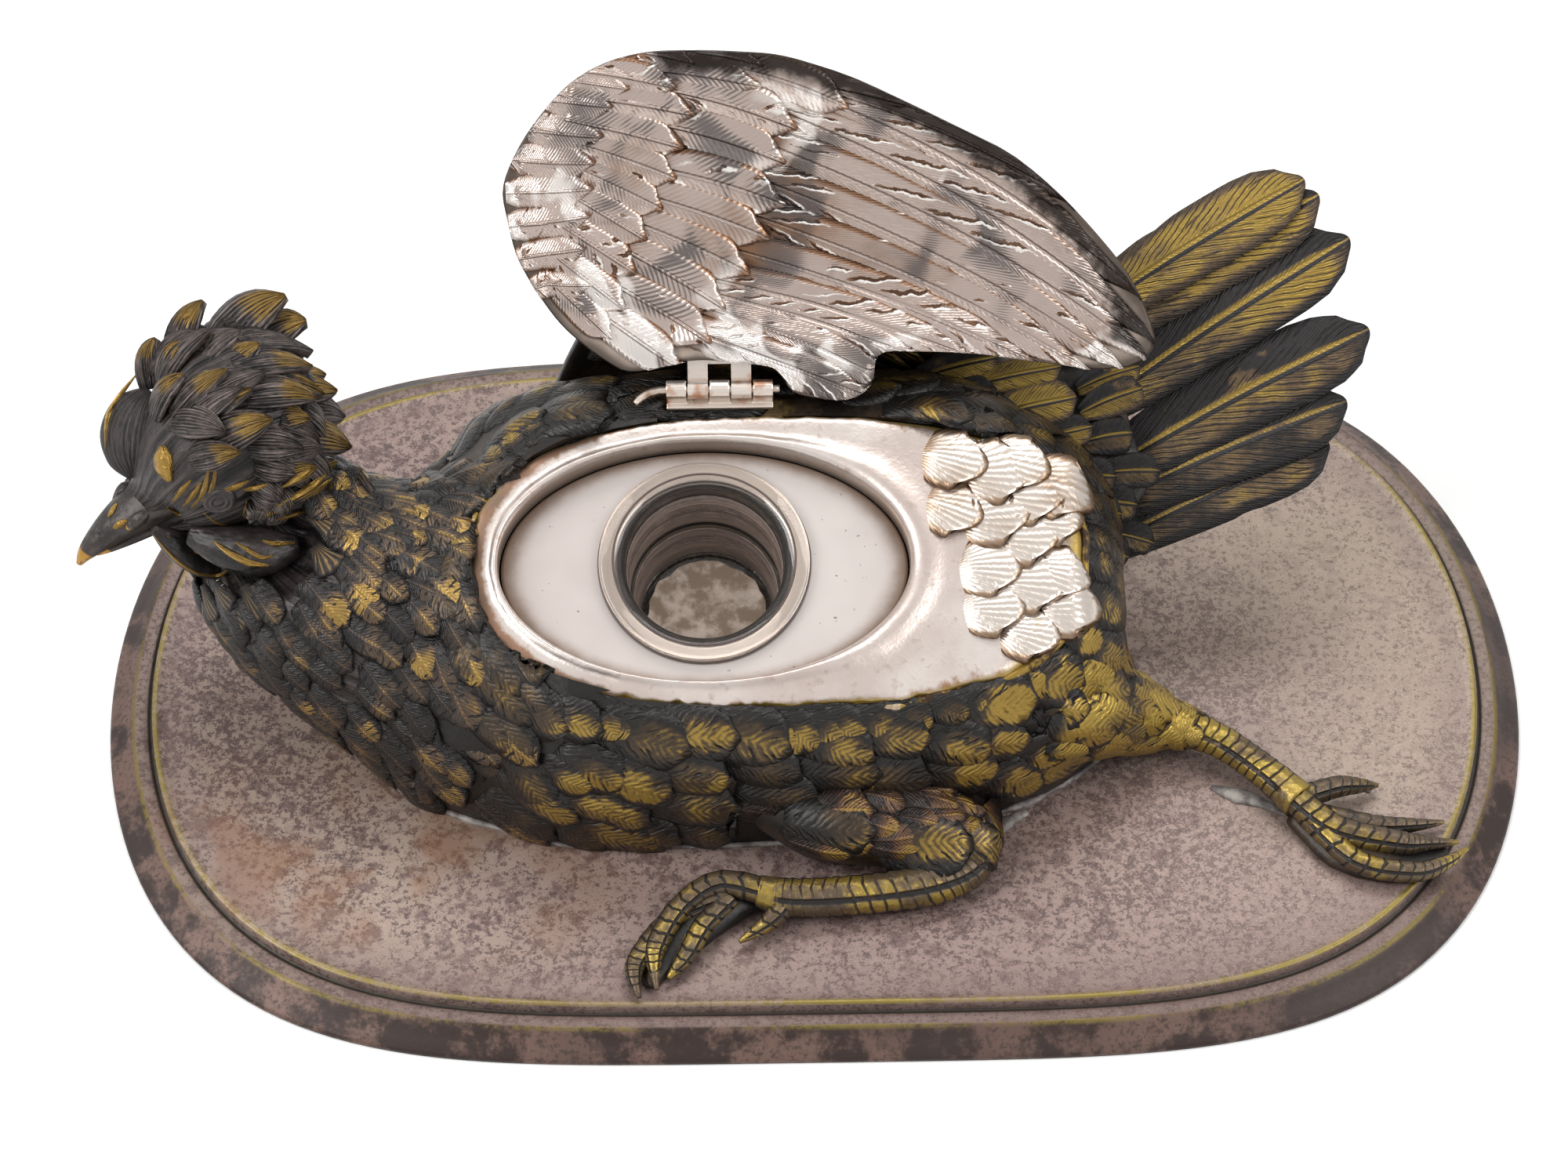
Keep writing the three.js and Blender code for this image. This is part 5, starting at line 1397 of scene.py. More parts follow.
def dress_wing(name, body, slot, form, materials, outer=False, scale=(1, 1), most=1.0):
    bm = fresh()

    def put(point):
        return Vector((form.left + (point[0] - LID_LEFT) / LID_LENGTH * form.length * scale[0],
                       point[1] / LID_RISE * form.rise * scale[1]))

    ratio = form.length / LID_LENGTH
    layers = [  # rows, blank, height at root and tip, outline, dome, lean, longer by at each end
        (QUILLS, long_blank, (0.3, 0.7), QUILL, 0.75, 0.5, 6.0, 3.5),
        (MEDIUM, long_blank, (0.6, 1.3), COVERT, 0.8, 0.3, 3.0, 0.5),
        (SMALL, long_blank, (1.0, 1.7), COVERT, 0.8, 0.2, 4.0, 0.5),
        (TINY, small_blank, (1.0, 1.7), ROUND_TIP, 0.8, 0.0, 0.0, 2.5),
        (EDGE, small_blank, (0.9, 1.5), ROUND_TIP, 0.7, 0.0, 0.0, 0.0),
    ]
    quill_faces = 0
    for rows, blank, levels, outline, dome, lean, before, beyond in layers:
        for root, tip, half, bow in reversed(rows):
            line = (Vector(tip) - Vector(root)).normalized()
            start, end = Vector(root) - line * before, Vector(tip) + line * beyond
            wing_feather(bm, form, blank, put(start), put(end), half * ratio * 1.06, levels,
                         bow * ratio, dome, lean, outline, outer, most)
        quill_faces = quill_faces or len(bm.faces)
    bm.faces.ensure_lookup_table()
    for face in bm.faces[quill_faces:]:
        face.material_index = len(materials) - 1
    # above zero the rim number marks the dark band along the top edge; below zero it is painted
    # light, brightening the lower part and the left end
    rim = bm.verts.layers.float.new("rim")
    back = form.matrix.inverted()
    for vert in bm.verts:
        spot = back @ vert.co
        along = (spot.x - form.left) / form.length
        upper = smooth_step(0.72, 0.86, spot.y / form.rise + 0.76 * along) * smooth_step(
            0.1, 0.26, along)
        low = 1 - smooth_step(0.1, 0.5, spot.y / form.rise + 0.3 * along)
        front = 1 - smooth_step(0.06, 0.22, along)
        vert[rim] = form.share(spot.x, spot.y) * upper - max(low, front) * (1 - upper)
    finish_piece(bm, name, body, slot, *materials)


# %% Silvered finishes of the lid
silver_feather = silver_scale_finish("silvered_wing_feather", bright=(188, 171, 162),
                                     shade=(134, 100, 76), dark=(74, 50, 36), barbs=54.0,
                                     deep=1.0, rough=0.2, reflection_patches=0.8, cuts=(9.0, 2.0, 0.5))
silver_covert = silver_scale_finish("silvered_wing_covert", bright=(190, 173, 164),
                                    shade=(136, 102, 78), dark=(74, 50, 36), barbs=22.0,
                                    deep=1.1, rough=0.2, reflection_patches=0.8, cuts=(4.0, 1.0, 0.42))
shell_finish = Finish("lid_shell_patina")
share, drop, _ = shell_finish.split(shell_finish.attribute("grain"))
places = shell_finish.places()
blotch = shell_finish.noise(places, 90.0, 4.0)
inner = shell_finish.step(drop, -0.4, -0.05)
rim_dark = shell_finish.step(share + (blotch - 0.5) * 0.1, 0.93, 0.985)
shell_tone = shell_finish.layered(tone(52, 46, 38), (inner, (158, 143, 132)),
                                  (rim_dark * 0.8, (64, 54, 46)))
shell_finish.surface(shell_tone, 0.4 + blotch * 0.1, 0.6, blotch, 0.0003, 0.4)
print("lid finishes ready")

# %% The lid wing
REST_ELEVATION = math.radians(55)
lid_matrix = Matrix.Translation((0, HINGE_Y, HINGE_Z)) @ Matrix.Rotation(REST_ELEVATION, 4, "X")
lid_form = WingForm(lid_matrix, WING_OUTLINE, (0.42, 0.46), LID_LEFT, LID_LENGTH, LID_RISE,
                    rim=1.6, dome=5.0, thickness=LID_WALL, sunk=1.6)
lid_shell = fresh()
wing_shell(lid_shell, lid_form)
lid_piece = finish_piece(lid_shell, "lid_shell", "lid", "silvered_bronze", shell_finish.material)
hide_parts("lid_wing")
dress_wing("lid_inner_feathers", "lid", "silvered_bronze", lid_form,
           (silver_feather, silver_covert))
dress_wing("lid_outer_feathers", "lid", "bird_bronze", lid_form, (tail_feather,), outer=True)

# %% The far wing
far_matrix = Matrix.Translation((-50, 37, 44)) @ Matrix.Rotation(math.radians(84), 4, "X")
far_form = WingForm(far_matrix, FAR_WING_OUTLINE, (0.45, 0.4), left=0.0, length=96.0, rise=46.0,
                    rim=0.0, dome=4.0, thickness=3.0)
far_shell = fresh()
wing_shell(far_shell, far_form)
far_piece = finish_piece(far_shell, "far_wing_shell", "root", "bird_bronze", skin_bronze)
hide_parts("rear_wing")
dress_wing("far_wing_front_feathers", "root", "bird_bronze", far_form, (dark_feather,),
           scale=(0.8, 0.9), most=0.9)
dress_wing("far_wing_back_feathers", "root", "bird_bronze", far_form, (tail_feather,), outer=True,
           scale=(0.8, 1.0), most=0.97)

# %% [markdown]
# ## Tail
# Six flat feathers fan out behind, each a blade with a raised quill and two unlike vanes: the
# lower one rubbed gold, the upper one dark where the next feather shades it. The edges are cut
# with small nicks, as a chaser parts the barbs.

# %% Tail fan
tail_matrix = (Matrix.Translation((56, 14, 34)) @ Matrix.Rotation(math.radians(-12), 4, "Y")
               @ Matrix.Rotation(math.radians(35), 4, "X"))
TAIL_LENGTH, TAIL_SPREAD = 54.0, 62.0
TAIL_ROOT_SHARE = -0.15
TAIL_FEATHERS = [  # root across, tip along and across as shares, half width in mm, lot
    (0.52, 0.79, 0.88, 6.6, 0.05), (0.46, 0.83, 0.83, 7.0, 0.35), (0.25, 0.91, 0.69, 7.4, 0.5),
    (0.07, 0.93, 0.415, 7.4, 0.62), (-0.01, 0.82, 0.215, 7.0, 0.8), (-0.13, 0.74, 0.1, 6.4, 0.9),
]
VANE = [(0, 0.4), (0.12, 0.6), (0.28, 0.82), (0.45, 0.95), (0.6, 1.0), (0.8, 1.0), (0.89, 0.92),
        (0.96, 0.7), (1, 0.34)]
tail_blank = feather_blank("tail_blank", 10, 26)


def tail_blade(number, root, tip, half, level, thick=1.15, bow=1.0):
    line = tip - root
    ahead = line.normalized()
    side = Vector((-ahead.y, ahead.x))

    def shape(across, way, top):
        nick = noise.noise(Vector((way * 9, number * 3.7 + (5 if across > 0 else 0), 0)))
        nick = 1 - 0.1 * max(nick, 0) * abs(across) ** 3
        wide = table_at(VANE, way)[0] * half * across * nick
        far = line.length * (way - 0.03 * across * across * way ** 3)
        spot = root + ahead * far + side * (wide + bow * math.sin(math.pi * way))
        roof = thick * (1 - across * across) ** 0.6 * (0.55 + 0.45 * math.sin(math.pi * way))
        ridge = 0.55 * math.exp(-(across / 0.1) ** 2) * (1 - way * 0.6)
        face = 1 if top > 0.5 else -1
        return tail_matrix @ Vector((spot.x, spot.y, level + face * (0.18 + roof * 0.62 + ridge)))
    return shape


tail = fresh()
for number, (root_across, tip_along, tip_across, half, lot) in enumerate(TAIL_FEATHERS):
    root = Vector((TAIL_ROOT_SHARE * TAIL_LENGTH, root_across * TAIL_SPREAD))
    tip = Vector((tip_along * TAIL_LENGTH, tip_across * TAIL_SPREAD))
    lay(tail, tail_blank, tail_blade(number, root, tip, half, -number * 1.1), lot)
tail_piece = finish_piece(tail, "tail_feathers", "root", "bird_bronze", tail_feather)
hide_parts("tail_fan")

# %% Rump
RUMP_ROWS = [(-0.42, 0.2, -0.06, 0.26, 0.1), (-0.28, 0.22, -0.03, 0.31, 0.12),
             (-0.15, 0.23, -0.02, 0.29, 0.08), (0.0, 0.24, -0.03, 0.26, 0.05),
             (0.08, 0.25, -0.04, 0.2, 0.02)]
rump = fresh()
RUMP_SCALE = (TAIL_LENGTH, TAIL_SPREAD, TAIL_LENGTH, TAIL_SPREAD, TAIL_LENGTH)
sweep_limb(rump, [[share * size for share, size in zip(row, RUMP_SCALE)] for row in RUMP_ROWS],
           sides=48, steps=30)
for vert in rump.verts:
    vert.co.z += 0.9 * noise.noise(vert.co * 0.25)
bmesh.ops.transform(rump, matrix=tail_matrix, verts=rump.verts[:])
finish_piece(rump, "rump_skin", "root", "bird_bronze", skin_bronze)

RUMP_BLADES = [  # root and tip in the tail's plane in mm, half width, height over the plane, lot
    (-8, -6, 1, -10, 3.4, 3.0, 0.6), (-10, 0, 1, -2, 3.6, 4.0, 0.5),
    (-11, 6, 1, 5, 3.6, 4.4, 0.6), (-4, 22, 8, 24.6, 3.0, 3.0, 0.2),
    (-9, 31, 3, 32, 3.0, 3.4, 0.3), (-16, 12.5, -2, 14.6, 3.2, 5.6, 0.3),
    (-24, 18.5, -4, 20.4, 4.2, 6.4, 0.05), (-26, 25, -6, 26.4, 3.6, 6.2, 0.1),
    (-34, 21, -18, 23.5, 4.0, 7.2, 0.4), (-34, 28, -17, 30, 3.8, 6.4, 0.3),
    (-4, 17.5, 8, 20.5, 3.6, 3.6, 0.3), (-5, 12, 5, 12.6, 3.6, 3.4, 0.6),
    (-4, 6, 9, 5, 3.4, 2.6, 0.8), (-6, 1, 4, -0.6, 3.6, 3.0, 0.7), (-5, -4, 6, -8, 3.0, 1.8, 0.9),
]
rump_feathers = fresh()
for number, (x, y, tip_x, tip_y, half, level, lot) in enumerate(RUMP_BLADES, 9):
    blade = tail_blade(number, Vector((x, y)), Vector((tip_x, tip_y)), half, level, 1.6, 0.4)
    lay(rump_feathers, tail_blank, blade, lot)
finish_piece(rump_feathers, "rump_feathers", "root", "bird_bronze", tail_feather)

# %% [markdown]
# ## Head
# The head keeps its nearly black patina; only what a thumb would rub is gold: the beak's tip, the
# bump over it, the brow and the ends of the crest. Skull and bill are drawn-out rings; the crest
# is nearly eighty grooved tufts swept back in an arc, the tips lifting free.

# %% Head frame and finishes
SKULL = 15.0
yaw, pitch = math.radians(206), math.radians(22)
HEAD_AHEAD = Vector((math.cos(yaw) * math.cos(pitch), math.sin(yaw) * math.cos(pitch),
                     -math.sin(pitch)))
HEAD_SIDE = UP.cross(HEAD_AHEAD).normalized()
HEAD_RISE = HEAD_AHEAD.cross(HEAD_SIDE)
head_matrix = Matrix((HEAD_AHEAD, HEAD_SIDE, HEAD_RISE)).transposed().to_4x4()
head_matrix.translation = HEAD_AT


def on_head(ahead, side, rise):
    return head_matrix @ (Vector((ahead, side, rise)) * SKULL)


def scaled(rows):
    return [tuple(value * SKULL for value in row) for row in rows]


def head_finish(name, dark, mid, gold, tip_start, tip_end, lines=0.0, rubbed=0.0, lot_gold=0.0,
                gilt=(0.2, 0.55)):
    """Gold from tip_start to tip_end along a tuft, on the share lot_gold of all tufts"""
    look = Finish(name)
    across, way, top = look.split(look.attribute("grain"))
    lot = look.attribute("lot", out="Fac")
    places = look.places()
    fine = look.noise(places, 700.0, 3.0)
    cloud = look.noise(places, 120.0, 3.0)
    hatch = look.noise(look.join(across * lines * 0.3, way * 1.6, lot * 20.0), 1.0, 3.0, 0.7)
    groove = (look.sine(across * lines + (cloud - 0.5) * 7.0) * 0.22 + 0.28
              + look.step(hatch, 0.38, 0.62) * 0.5)
    tip = look.step(way, tip_start, tip_end)
    worn = look.clamp((tip * (1.0 - look.step(abs(across), 0.55, 0.95) * 0.7)
                       * look.step(lot, 1.0 - lot_gold, 1.05 - lot_gold) * top
                       + rubbed * (cloud - 0.4) * 2.0) * (0.3 + groove * 0.75)
                      + (fine - 0.5) * 0.3)
    shaded = 0.45
    if lines > 20 and lot_gold:
        shaded = 1.0 - look.step(way + (hatch - 0.5) * 0.4, 0.1, 0.5) * 0.55
    relief = look.clamp(groove * 1.1 + (fine - 0.5) * 0.9 - shaded * 0.4)
    colour = look.layered(tone(*dark), (relief, mid), (look.step(worn, *gilt), gold))
    return look.surface(colour, 0.42 - worn * 0.1 + (fine - 0.5) * 0.1, 0.35 + worn * 0.4,
                        groove * 0.9 + fine * 0.4, 0.0005, 1.0)


NO_TIP, ALL_TIP = (2.0, 2.1), (-0.5, -0.2)  # past the end of the tuft, and before its root
crest_finish = head_finish("crest_bronze", (12, 10, 10), (132, 119, 114), (152, 121, 62),
                           tip_start=0.2, tip_end=0.65, lines=34.0, rubbed=0.2, lot_gold=0.66,
                           gilt=(0.42, 0.8))
face_finish = head_finish("face_bronze", (20, 17, 17), (76, 68, 66), (150, 118, 58), *NO_TIP,
                          lines=90.0, rubbed=0.3)
smooth_face = head_finish("smooth_cheek_bronze", (32, 28, 28), (78, 70, 68), (150, 118, 58),
                          *NO_TIP, lines=5.0, rubbed=0.15)
beak_finish = head_finish("beak_bronze", (28, 25, 24), (74, 66, 63), (166, 124, 54),
                          tip_start=0.72, tip_end=0.84, lines=3.0, rubbed=0.12, lot_gold=1.0)
trim_finish = head_finish("rubbed_gold_trim", (60, 48, 32), (112, 88, 48), (150, 118, 56), *ALL_TIP,
                          lines=7.0, rubbed=0.2, lot_gold=1.0)
print("head finishes ready")

# %% Rings of the head, in skull radii: ahead, aside, up, half width, half height
SKULL_ROWS = [(-1, 0, -0.15, 0.45, 0.45), (-0.6, 0, 0, 0.92, 0.92), (0, 0, 0.05, 0.98, 1.0),
              (0.5, 0, 0, 0.82, 0.8), (0.95, 0, -0.08, 0.52, 0.46), (1.15, 0, -0.1, 0.36, 0.33)]
CROWN = [(0.5, -0.1, 0.5, 0.3, 0.2), (0.3, -0.15, 0.48, 0.66, 0.46), (-0.1, -0.15, 0.45, 0.92, 0.72),
         (-0.6, -0.12, 0.3, 1.02, 0.82), (-1.0, -0.05, 0.12, 0.8, 0.68), (-1.22, 0, 0, 0.35, 0.3)]
UPPER_BILL = [(0.7, 0, 0.0, 0.4, 0.27), (1.1, 0, -0.01, 0.34, 0.25), (1.5, 0, -0.02, 0.26, 0.2),
              (1.82, 0, -0.07, 0.18, 0.15), (2.08, 0, -0.15, 0.1, 0.1), (2.24, 0, -0.25, 0.03, 0.04)]
LOWER_BILL = [(0.7, 0, -0.28, 0.36, 0.17), (1.1, 0, -0.28, 0.3, 0.13), (1.5, 0, -0.26, 0.22, 0.1),
              (1.82, 0, -0.25, 0.13, 0.07), (2.0, 0, -0.26, 0.05, 0.03)]
EAR = [(0.15, 0.82, 0.0, 0.14, 0.14), (-0.2, 0.86, -0.3, 0.3, 0.24), (-0.55, 0.78, -0.58, 0.28, 0.22),
       (-0.92, 0.68, -0.74, 0.1, 0.1)]
JAW = [(0.9, 0.6, -0.28, 0.12, 0.14), (0.64, 0.88, -0.44, 0.26, 0.22),
       (0.3, 1.14, -0.62, 0.32, 0.24), (-0.1, 1.24, -0.8, 0.14, 0.12)]
FAR_JAW = [(0.9, -0.5, -0.28, 0.12, 0.14), (0.64, -0.66, -0.4, 0.26, 0.2),
           (0.3, -0.76, -0.55, 0.32, 0.22), (-0.1, -0.78, -0.7, 0.14, 0.12)]
FLAP = [(1.2, 0.42, 0.0, 0.05, 0.05), (1.12, 0.5, -0.4, 0.2, 0.13), (1.0, 0.56, -0.8, 0.26, 0.15),
        (0.84, 0.6, -1.05, 0.2, 0.13), (0.68, 0.64, -1.2, 0.05, 0.05)]
LAPPET = [(0.3, 0.7, 0.8, 0.08, 0.05), (0.58, 0.62, 0.76, 0.34, 0.09),
          (0.84, 0.5, 0.62, 0.4, 0.09), (1.0, 0.36, 0.44, 0.28, 0.08), (1.08, 0.2, 0.26, 0.06, 0.04)]


def other_side(rows):
    return [(x, -y, z, width, height) for x, y, z, width, height in rows]


# %% Skull and neck
head = fresh()
sweep_limb(head, scaled(SKULL_ROWS), sides=48, steps=36, lot=0.1)
sweep_limb(head, scaled(CROWN), sides=48, steps=30, lot=0.1,
           swell=lambda share: 1 + 0.02 * math.sin(share * 47))
for rows in (EAR, other_side(EAR)):
    sweep_limb(head, scaled(rows), sides=32, steps=28, lot=0.1)
sweep_limb(head, scaled(other_side(LAPPET)), sides=24, steps=26, lot=0.1)
bmesh.ops.transform(head, matrix=head_matrix, verts=head.verts[:])
sweep_limb(head, BODY_ROWS, sides=56, steps=30, power=2.3, start=0.69, end=0.98, lot=0.1,
           swell=lambda share: (1 - 0.12 * smooth_step(0.86, 0.98, share)
                              - 0.08 * (1 - smooth_step(0.69, 0.75, share))))
NECK_FOOT = 4.6  # inside the plate, so that the pushed skin doesn't come out under the base
for vert in head.verts:
    if (vert.co - HEAD_AT).length > 15.5:
        vert.co -= TO_VIEWER * 8.0 * cheek_hollow(vert.co)
        vert.co.z = max(vert.co.z, NECK_FOOT)
head_ground = BVHTree.FromBMesh(head)
head_piece = finish_piece(head, "skull_and_neck", "root", "bird_bronze", face_finish)
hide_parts("head_and_neck")

# %% Jaw flaps and bill
jaws = fresh()
for rows in (JAW, FAR_JAW, FLAP, other_side(FLAP)):
    sweep_limb(jaws, scaled(rows), sides=32, steps=24)
bmesh.ops.transform(jaws, matrix=head_matrix, verts=jaws.verts[:])
jaw_ground = BVHTree.FromBMesh(jaws)
finish_piece(jaws, "jaw_flaps", "root", "bird_bronze", smooth_face)

bill = fresh()
sweep_limb(bill, scaled(UPPER_BILL), sides=36, steps=32, power=2.2)
sweep_limb(bill, scaled(LOWER_BILL), sides=28, steps=24)
NOSTRIL = [(1.12, 0.24, 0.08, 0.03, 0.03), (1.24, 0.26, 0.1, 0.09, 0.09),
           (1.38, 0.23, 0.06, 0.08, 0.08), (1.52, 0.19, 0.03, 0.02, 0.02)]
for rows in (NOSTRIL, other_side(NOSTRIL)):
    sweep_limb(bill, scaled(rows), sides=16, steps=12, end=0.999)
bmesh.ops.transform(bill, matrix=head_matrix, verts=bill.verts[:])
bill_ground = BVHTree.FromBMesh(bill)
finish_piece(bill, "bill", "root", "bird_bronze", beak_finish)

# %% Eyes
EYE_PROFILE = [(0.0, 0.62), (0.35, 0.58), (0.7, 0.42), (0.9, 0.16), (1.05, 0.12), (1.25, 0.42),
               (1.5, 0.46), (1.75, 0.2), (1.95, 0.16), (2.2, 0.36), (2.5, 0.3), (2.8, -0.1),
               (3.1, -1.2), (0.0, -1.4)]
eyes = fresh()
for side in (1, -1):
    part = fresh()
    spin_profile(part, EYE_PROFILE, 48)
    facing = Vector((0.34, 0.9 * side, 0.26)).normalized()
    forward = (Vector((1, 0, -0.25)) - facing * facing.x).normalized()
    turn = Matrix((forward * 1.15, facing.cross(forward) * 0.92, facing * 0.7)).transposed().to_4x4()
    turn.translation = Vector((0.31, 0.885 * side, 0.25)) * SKULL
    bmesh.ops.transform(part, matrix=head_matrix @ turn, verts=part.verts[:])
    add_part(eyes, part)
finish_piece(eyes, "eyes", "root", "bird_bronze", smooth_face)

# %% Crest tufts
TUFTS = [  # root and tip round the skull in its radii (ahead, side, rise), half width, gold
    ((0.3, -0.74, 0.77), (-0.1, -1.12, 1.06), 2.4, 0.8),
    ((-0.1, -0.8, 0.8), (-0.8, -1.22, 1.06), 3.2, 0.5),
    ((0.36, -0.2, 0.94), (-0.22, -0.22, 1.2), 3.4, 0.95),
    ((-0.1, 0.3, 0.96), (-0.8, 0.42, 1.08), 2.5, 1.0),
    ((-0.26, -0.6, 0.8), (-0.76, -0.6, 1.08), 3.4, 0.85),
    ((-0.5, -0.1, 0.9), (-1.1, -0.2, 0.95), 3.8, 0.8),
    ((-0.62, -0.7, 0.74), (-1.66, -0.88, 0.74), 5.0, 0.7),
    ((-0.95, -0.6, 0.52), (-1.7, -0.6, 0.42), 4.4, 0.5),
    ((-0.92, -0.35, 0.4), (-1.44, -0.38, 0.22), 3.8, 0.8),
    ((-0.8, 0.17, 0.6), (-1.46, 0.08, -0.1), 4.4, 0.7),
    ((-0.62, 0.52, 0.6), (-1.12, 0.68, 0.42), 3.2, 0.9),
    ((-0.4, 0.8, 0.48), (-1.04, 0.86, 0.12), 3.6, 0.3),
    ((-0.76, 0.56, 0.3), (-1.26, 0.56, -0.5), 4.2, 0.4),
    ((-0.24, 0.98, 0.0), (-1.04, 0.74, -0.34), 3.2, 0.9),
    ((-0.06, 1.0, -0.22), (-0.88, 1.0, -0.26), 2.8, 0.9),
    ((0.16, 0.12, 1.0), (-0.34, 0.7, 1.06), 3.4, 0.3),
    ((0.02, 0.56, 0.86), (-0.8, 0.7, 0.84), 3.8, 0.42),
    ((0.24, 0.6, 0.82), (-0.3, 0.86, 0.84), 3.0, 0.5),
    ((-0.95, 0.2, 0.1), (-1.36, 0.26, -0.36), 4.4, 0.3),
    ((-0.3, 0.92, 0.22), (-0.86, 1.02, 0.08), 3.0, 0.7),
    ((-1.0, -0.2, 0.2), (-1.42, -0.14, -0.1), 3.8, 0.4),
    ((0.1, -0.5, 0.9), (-0.42, -0.7, 1.14), 3.6, 0.7),
    ((-0.3, 0.1, 0.98), (-0.95, 0.2, 0.98), 3.8, 0.35),
    ((-0.3, -0.4, 0.96), (-1.0, -0.5, 0.98), 3.8, 0.35),
]
# %% One tuft
TUFT = [(0, 0.75), (0.22, 0.98), (0.45, 0.98), (0.68, 0.76), (0.86, 0.44), (1, 0.1)]
SEEN_FROM = Vector((0.0, 0.45, 0.9))


def tuft(root, tip, half, thick=1.7):
    root, tip = Vector(root) * SKULL, Vector(tip) * SKULL

    def path(way):
        straight = root.lerp(tip, way)
        return straight + straight.normalized() * SKULL * (0.1 * math.sin(math.pi * way))

    def shape(across, way, top):
        spot = path(way)
        ahead = (path(way + 0.02) - path(way - 0.02)).normalized()
        far = smooth_step(-0.2, -0.8, root.y / SKULL)
        outward = spot.normalized().lerp(SEEN_FROM, 0.75 * far)
        outward = (outward - ahead * outward.dot(ahead)).normalized()
        side = ahead.cross(outward)
        wide = table_at(TUFT, way)[0] * half
        groove = 0.3 * math.cos(across * 11 + root.x * 2) * (0.6 + 0.4 * math.sin(way * 5 + root.y))
        roof = thick * (1 - across * across) ** 0.5 * (0.5 + 0.5 * table_at(TUFT, way)[0])
        hook = side * (way ** 3 * half * 0.35)
        if top > 0.5:
            return head_matrix @ (spot + hook + side * wide * across
                                  + outward * (roof * 0.7 + groove + 0.6 * way * way))
        return head_matrix @ (spot + hook + side * wide * across * 0.9
                              - outward * (0.5 + roof * 0.5))
    return shape


# %% Laying the crest
tuft_blank = feather_blank("tuft_blank", 12, 10)
crest = fresh()
for root, tip, half, lot in TUFTS:
    lay(crest, tuft_blank, tuft(root, tip, half), lot)


def crown_ray(back, lean, above):
    """A place over the crown, in skull radii, by how far back and how far aside it leans"""
    toward = Vector((math.sin(-back) * math.cos(lean), math.sin(lean),
                     math.cos(back) * math.cos(lean)))
    way = head_matrix.to_3x3() @ toward
    hit = head_ground.ray_cast(HEAD_AT + way * 60, -way)[0]
    return toward * (min((hit - HEAD_AT).length / SKULL, 1.5) + above)


TUFT_ARC = math.radians(38)
for number, back in enumerate(range(-46, 126, 19)):
    for lean in range(-80, 81, 20):
        a = math.radians(back + chance.uniform(-6, 6))
        b = math.radians(lean + chance.uniform(-5, 5) + (10 if number % 2 else 0))
        if back < -10 or (lean > 26 and back < 14) or (abs(lean) > 60 and back < 10):
            continue
        if crown_ray(a + TUFT_ARC, b, 0).length > 1.45:
            continue
        tip = crown_ray(a + TUFT_ARC, b, chance.uniform(0.08, 0.16))
        filler = tuft(crown_ray(a, b, 0), tip, chance.uniform(2.6, 3.4), 1.1)
        lay(crest, tuft_blank, filler, chance.uniform(0.1, 0.5))
crest_ground = BVHTree.FromBMesh(crest)
finish_piece(crest, "crest", "root", "bird_bronze", crest_finish)

# %% [markdown]
# ## Rubbed lines of the face
# A chaser's ridges, rubbed bright: the bump over the bill, ribs fanning from bill to brow, the lid
# under the eye, three curved ribs behind it and the jaw flap's edge. Each is a thin tapering rod
# half sunk in whatever surface lies under it.

